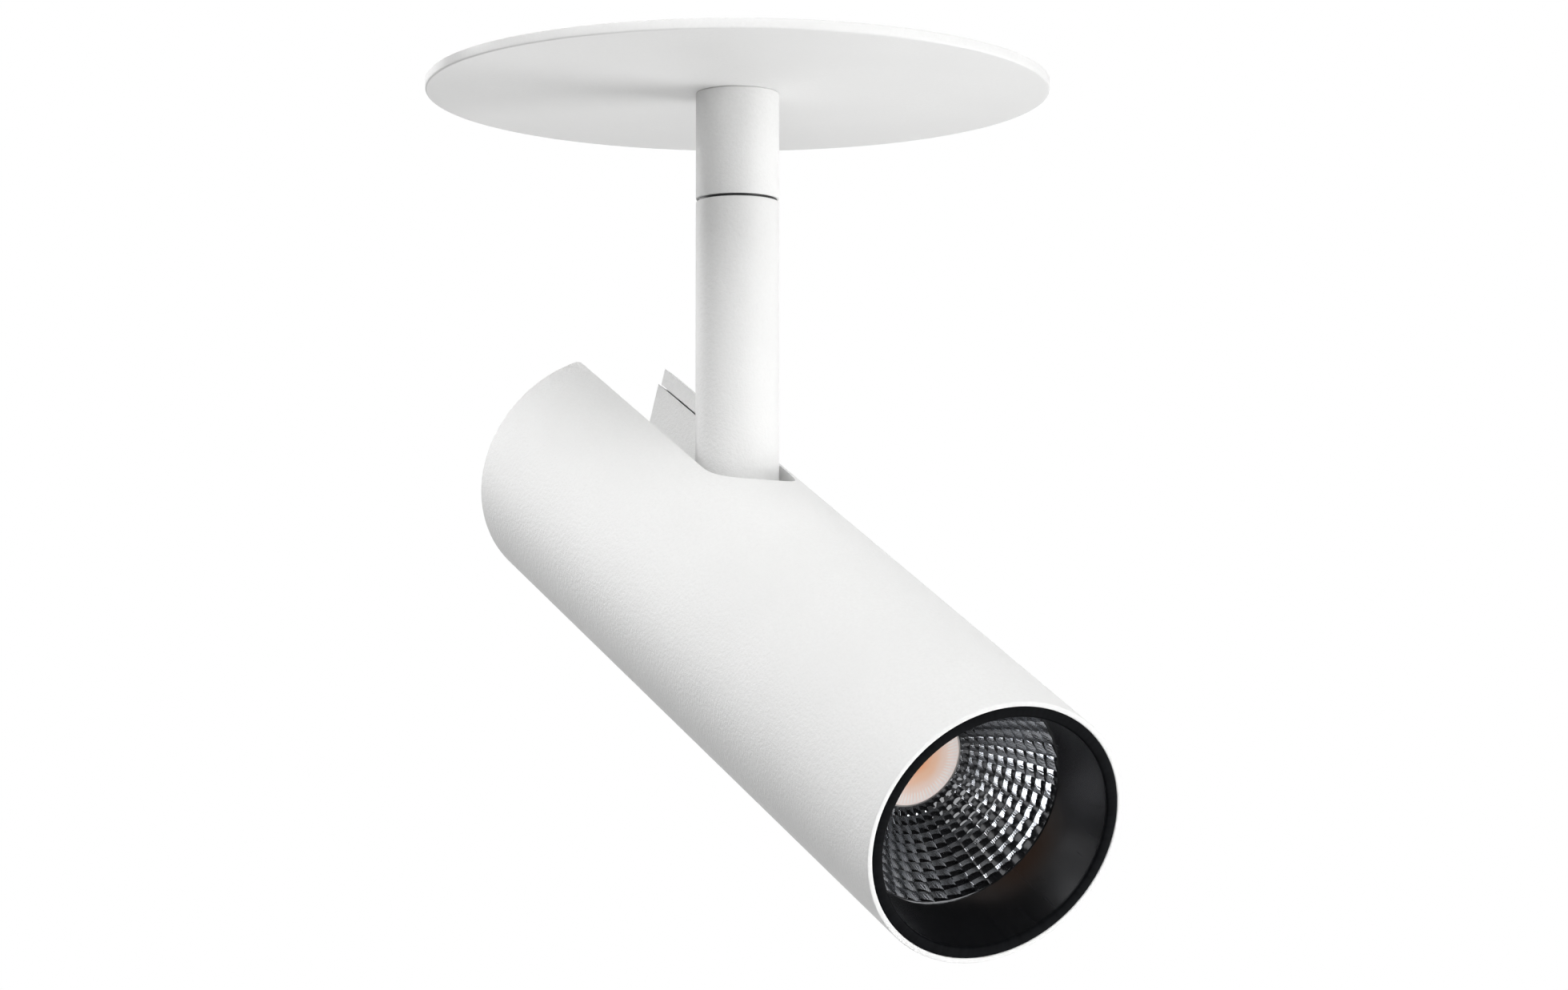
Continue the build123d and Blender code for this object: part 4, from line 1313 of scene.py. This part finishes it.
@dataclass
class SpringArms(Assembly):
    """Sprung arms on both sides of the can, each with a ribbed rubber pad."""

    pivot: Triple = (45.5, 0.0, 10.6)
    half_width: float = 5.2
    thickness: float = 1.2
    inner_reach: float = 2.8
    length: float = 34.0
    tip_radius: float = 2.6
    tip_steps: int = 6
    bead_margin: float = 1.9
    bead_rise: float = 0.35
    edge_bevel: float = 0.12
    edge_limit: float = 50.0
    cheek_radius: float = 2.5
    cheek_wall: float = 1.8
    cheek_length: float = 8.0
    cheek_slope: float = 1.2
    cheek_end: float = 0.3
    cheek_steps: int = 36
    pin_hole: float = 1.3
    pad_length: float = 10.0
    pad_wall: float = 1.4
    pad_gap: float = 0.05
    pad_bevel: float = 0.7
    pad_edge: float = 1.2
    pad_ribs: int = 5
    rib_margin: float = 0.12
    rib_rise: float = 0.25

    def build(self) -> None:
        """Build both arms and both pads."""
        for side, body, turn in (("right", Body.RIGHT_ARM, 0), ("left", Body.LEFT_ARM, 180)):
            place = turned(turn, "Z") @ at(*self.pivot)
            self.dress(self._arm(), f"arm_{side}", Slot.STEEL, body, f"spring_arm_{side}", place=place)
            self.dress(self._pad(), f"tip_pad_{side}", Slot.RUBBER, body, f"arm_pad_{side}", place=place)

    def _arm(self) -> Piece:
        """Pressed arm about its pin, reaching along +X.

        Returns:
            The arm.
        """
        low = -self.cheek_radius
        ends = (self.inner_reach, -self.half_width, low), (self.length, self.half_width, low + self.thickness)
        strip = Bench.block(*ends)
        Bench.edit(strip, "EDGE")
        Bench.pick(strip, "edges", self._is_tip_edge)
        bpy.ops.mesh.bevel(offset=self.tip_radius * MM, segments=self.tip_steps)
        bpy.ops.mesh.select_mode(type="FACE")
        Bench.pick(strip, "faces", lambda face: face.normal.z > FLAT)
        Bench.inset(self.bead_margin, 0.0)
        Bench.inset(self.bead_rise, self.bead_rise)
        Bench.clear()
        bevel = {"width": self.edge_bevel * MM, "segments": 2, "angle_limit": math.radians(self.edge_limit)}
        Bench.apply(strip, "BEVEL", bevel)
        Bench.join(strip, [self._cheek(side) for side in (-1, 1)])
        Bench.smooth(strip)
        return strip

    def _is_tip_edge(self, edge: bmesh.types.BMEdge) -> bool:
        """Whether an edge stands upright at the arm's tip.

        Args:
            edge: edge of the strip.

        Returns:
            Whether it is at the tip.
        """
        first, second = (vert.co for vert in edge.verts)
        upright = abs(first.z - second.z) > self.thickness * MM / 2
        return upright and min(first.x, second.x) > (self.length - OVERRUN) * MM

    def _cheek(self, side: int) -> Piece:
        """Cheek with a round end and the hole of the pin.

        Args:
            side: side of the arm, -1 or 1.

        Returns:
            The cheek.
        """
        outline = [
            *arc((0.0, 0.0), self.cheek_radius, -90, -360, self.cheek_steps),
            (self.cheek_length - self.cheek_slope, 0.0),
            (self.cheek_length, self.cheek_end - self.cheek_radius),
            (self.cheek_length, -self.cheek_radius),
        ]
        faces = sorted((side * self.half_width, side * (self.half_width - self.cheek_wall)))
        cheek = Bench.prism(outline, *faces)
        place = at(0, -2 * self.half_width, 0) @ turned(-90, "X")
        Bench.cut(cheek, [Bench.bar(self.pin_hole, 4 * self.half_width, place, sides=32)])
        return cheek

    def _pad(self) -> Piece:
        """Rubber sleeve over the arm's tip, with ribs above and below.

        Returns:
            The pad.
        """
        under, over = -self.cheek_radius, self.thickness - self.cheek_radius
        start, end, half = self.length - self.pad_length, self.length, self.half_width
        wall, gap = self.pad_wall, self.pad_gap
        pad = Bench.block((start, -half - wall, under - wall), (end + wall, half + wall, over + wall))
        Bench.apply(pad, "BEVEL", {"width": self.pad_bevel * MM, "segments": 3})
        Bench.edit(pad)
        first = start + self.pad_edge
        pitch = (self.pad_length + wall - 2 * self.pad_edge) / (2 * self.pad_ribs - 1)
        for step in range(2 * self.pad_ribs):
            bpy.ops.mesh.select_all(action="SELECT")
            bpy.ops.mesh.bisect(plane_co=((first + pitch * step) * MM, 0, 0), plane_no=(1, 0, 0))
        Bench.pick(pad, "faces", lambda face: self._is_rib(face, first, pitch))
        Bench.inset(self.rib_margin, self.rib_rise)
        inside = (start - OVERRUN, -half - gap, under - gap), (end + gap, half + gap, over + gap)
        Bench.cut(pad, [Bench.block(*inside)])
        return pad

    def _is_rib(self, face: bmesh.types.BMFace, start: float, pitch: float) -> bool:
        """Whether a face of the pad's broad sides lies in a rib.

        Args:
            face: face of the pad.
            start: where the first rib starts.
            pitch: width of a rib and of a gap.

        Returns:
            Whether it is raised.
        """
        step = (face.calc_center_median().x / MM - start) / pitch
        within = 0 < step < 2 * self.pad_ribs - 1 and math.floor(step) % 2 == 0
        return within and abs(face.normal.z) > FLAT


class KeptNodes(Assembly):
    """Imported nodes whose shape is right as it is."""

    def build(self) -> None:
        """Give every node that still shows the finish of its slot."""
        for name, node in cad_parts.items():
            if node.hide_render:
                continue
            for holder in node.material_slots:
                slot = Slot(holder.material.name.split(".")[0])
                holder.material = FINISHES[slot].material()
            LOG.info("%s: packed node keeps its shape", name)


@dataclass(frozen=True)
class Lamp:
    """Soft rectangular lamp that faces the object.

    Its azimuth is counted from +X towards +Y and its elevation from the horizon, both in degrees. Its
    glow is how bright it looks beside a white of 1. A fill is a lamp that no mirror shows.
    """

    name: str
    azimuth: float
    elevation: float
    glow: float
    width: float = 0.90
    height: float = 0.75
    distance: float = 1.3
    fill: bool = False


@dataclass
class Studio:
    """Camera, lights, floor and ceiling."""

    location: Triple = (-0.4615, -0.8357, -0.1924)
    look: Triple = (0.4882, 0.8648, 0.1172)
    right: Triple = (0.87084, -0.49157, 0.0)
    lens: float = 115.76
    sensor: float = 36.0
    clip: Pair = (0.01, 50.0)
    surround: float = 0.25
    room: float = 0.04
    backdrop_reach: float = 0.4
    floor_z: float = -1.50
    floor_radius: float = 20.0
    floor_glow: float = 0.88
    floor_share: float = 0.85
    floor_mottle: float = 300.0
    floor_tones: tuple[Triple, Triple] = ((0.80, 0.80, 0.80), (0.83, 0.83, 0.83))
    pool_reach: Pair = (0.9, 1.5)
    pool_glow: float = 0.16
    ceiling_z: float = 0.0006
    ceiling_radius: float = 4.0
    aim: Triple = (0.0, -0.03, -0.09)
    lamps: tuple[Lamp, ...] = (
        Lamp("key", -165.0, 46.0, 4.1),
        Lamp("above_camera", -112.0, 40.0, 2.1),
        Lamp("beside_camera", -130.0, 3.0, 0.35),
        Lamp("below_camera", -115.0, -30.0, 1.8, fill=True),
        Lamp("low_right", -22.0, -32.0, 5.4),
        Lamp("right_front", -67.0, 3.0, 4.0, 0.80, 0.65),
        Lamp("low_behind", 67.0, -32.0, 1.7),
        Lamp("high_behind", 112.0, 20.0, 3.0),
        Lamp("high_right", 15.0, 38.0, 0.6),
    )

    def build(self) -> None:
        """Build the studio."""
        self._camera()
        self._world()
        self._floor()
        self._ceiling()
        for lamp in self.lamps:
            self._lamp(lamp)
        LOG.info("studio is set")

    def _camera(self) -> None:
        """Camera at the photograph's place."""
        data = bpy.data.cameras.new("camera")
        camera = bpy.data.objects.new("camera", data)
        bpy.context.scene.collection.objects.link(camera)
        look, right = Vector(self.look).normalized(), Vector(self.right).normalized()
        matrix = Matrix((right, right.cross(look), -look)).transposed().to_4x4()
        matrix.translation = Vector(self.location)
        camera.matrix_world = matrix
        data.sensor_fit = "HORIZONTAL"
        data.sensor_width = self.sensor
        data.lens = self.lens
        data.clip_start, data.clip_end = self.clip
        bpy.context.scene.camera = camera

    def _world(self) -> None:
        """Dim room in front, and a backdrop that is pure white, seen directly or in a reflection."""
        world = bpy.data.worlds.new("surround")
        bpy.context.scene.world = world
        graph = Graph(world)
        rays = graph.add("ShaderNodeLightPath", output="Is Camera Ray")
        mirrored = rays.output("Is Glossy Ray").math("MAXIMUM", rays.output("Is Transmission Ray"))
        toward = graph.add("ShaderNodeTexCoord", output="Generated").dot(self.look)
        seen = rays.math("MAXIMUM", mirrored * graph.span(toward, 0.0, self.backdrop_reach))
        tone = (1.0 - mirrored) * (self.surround - self.room) + self.room
        graph.surface(graph.shine("ShaderNodeBackground", seen + (1.0 - seen) * tone))

    @staticmethod
    def _paint(board: Piece, name: str) -> Graph:
        """Name a piece of the stage and give it an empty paint.

        Args:
            board: the piece.
            name: its name.

        Returns:
            Graph of its paint.
        """
        board.name = board.data.name = name
        material = bpy.data.materials.new(f"{name}_paint")
        board.data.materials.append(material)
        return Graph(material)

    def _floor(self) -> None:
        """Plain pale floor, near white to the camera and dim in a mirror, but for a pool of light."""
        floor = Bench.disc(self.floor_radius, self.floor_z, sides=128)
        graph = self._paint(floor, "floor")
        place = graph.place()
        colour = graph.mix(graph.vary(graph.noise(place, self.floor_mottle)), *self.floor_tones)
        paint = graph.principled({"Base Color": colour, "Roughness": 0.8})
        pale = graph.shine("ShaderNodeEmission", self.floor_glow)
        away = place.dot((1, 0, 0)).hypot(place.dot((0, 1, 0)))
        pool = graph.span(away, *self.pool_reach, self.pool_glow, self.room)
        rays = graph.add("ShaderNodeLightPath", output="Is Camera Ray")
        seen = graph.blend(rays * self.floor_share, paint, pale)
        dim = graph.shine("ShaderNodeEmission", pool)
        graph.surface(graph.blend(rays.output("Is Glossy Ray"), seen, dim))

    def _ceiling(self) -> None:
        """White ceiling board that only the camera sees, and only from below."""
        board = Bench.disc(self.ceiling_radius, self.ceiling_z, sides=96)
        Bench.edit(board)
        bpy.ops.mesh.select_all(action="SELECT")
        bpy.ops.mesh.flip_normals()
        Bench.clear()
        graph = self._paint(board, "ceiling_board")
        camera_ray = graph.add("ShaderNodeLightPath", output="Is Camera Ray")
        back = graph.add("ShaderNodeNewGeometry", output="Backfacing")
        clear = graph.add("ShaderNodeBsdfTransparent")
        white = graph.shine("ShaderNodeEmission", 1.0)
        graph.surface(graph.blend(camera_ray * (1.0 - back), clear, white))

    def _lamp(self, lamp: Lamp) -> None:
        """Set up one lamp.

        Args:
            lamp: which lamp.
        """
        data = bpy.data.lights.new(lamp.name, "AREA")
        data.shape = "RECTANGLE"
        data.size, data.size_y = lamp.width, lamp.height
        data.energy = math.pi * lamp.width * lamp.height * lamp.glow
        stand = bpy.data.objects.new(lamp.name, data)
        bpy.context.scene.collection.objects.link(stand)
        stand.visible_camera = False
        stand.visible_glossy = not lamp.fill
        azimuth, elevation = math.radians(lamp.azimuth), math.radians(lamp.elevation)
        level = math.cos(elevation)
        away = Vector((level * math.cos(azimuth), level * math.sin(azimuth), math.sin(elevation)))
        stand.location = Vector(self.aim) + away * lamp.distance
        stand.rotation_mode = "QUATERNION"
        stand.rotation_quaternion = (-away).to_track_quat("-Z", "Y")


def main() -> None:
    """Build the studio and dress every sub-assembly."""
    logging.basicConfig(level=logging.INFO, format="%(name)s: %(message)s")
    Studio().build()
    assemblies: list[Assembly] = [
        CeilingPlate(),
        Stem(),
        Head(),
        Baffle(),
        Reflector(),
        Emitter(),
        CanTop(),
        SpringArms(),
        KeptNodes(),
    ]
    for assembly in assemblies:
        assembly.build()
    bpy.context.scene.view_settings.view_transform = "Standard"


if __name__ == "__main__":
    main()
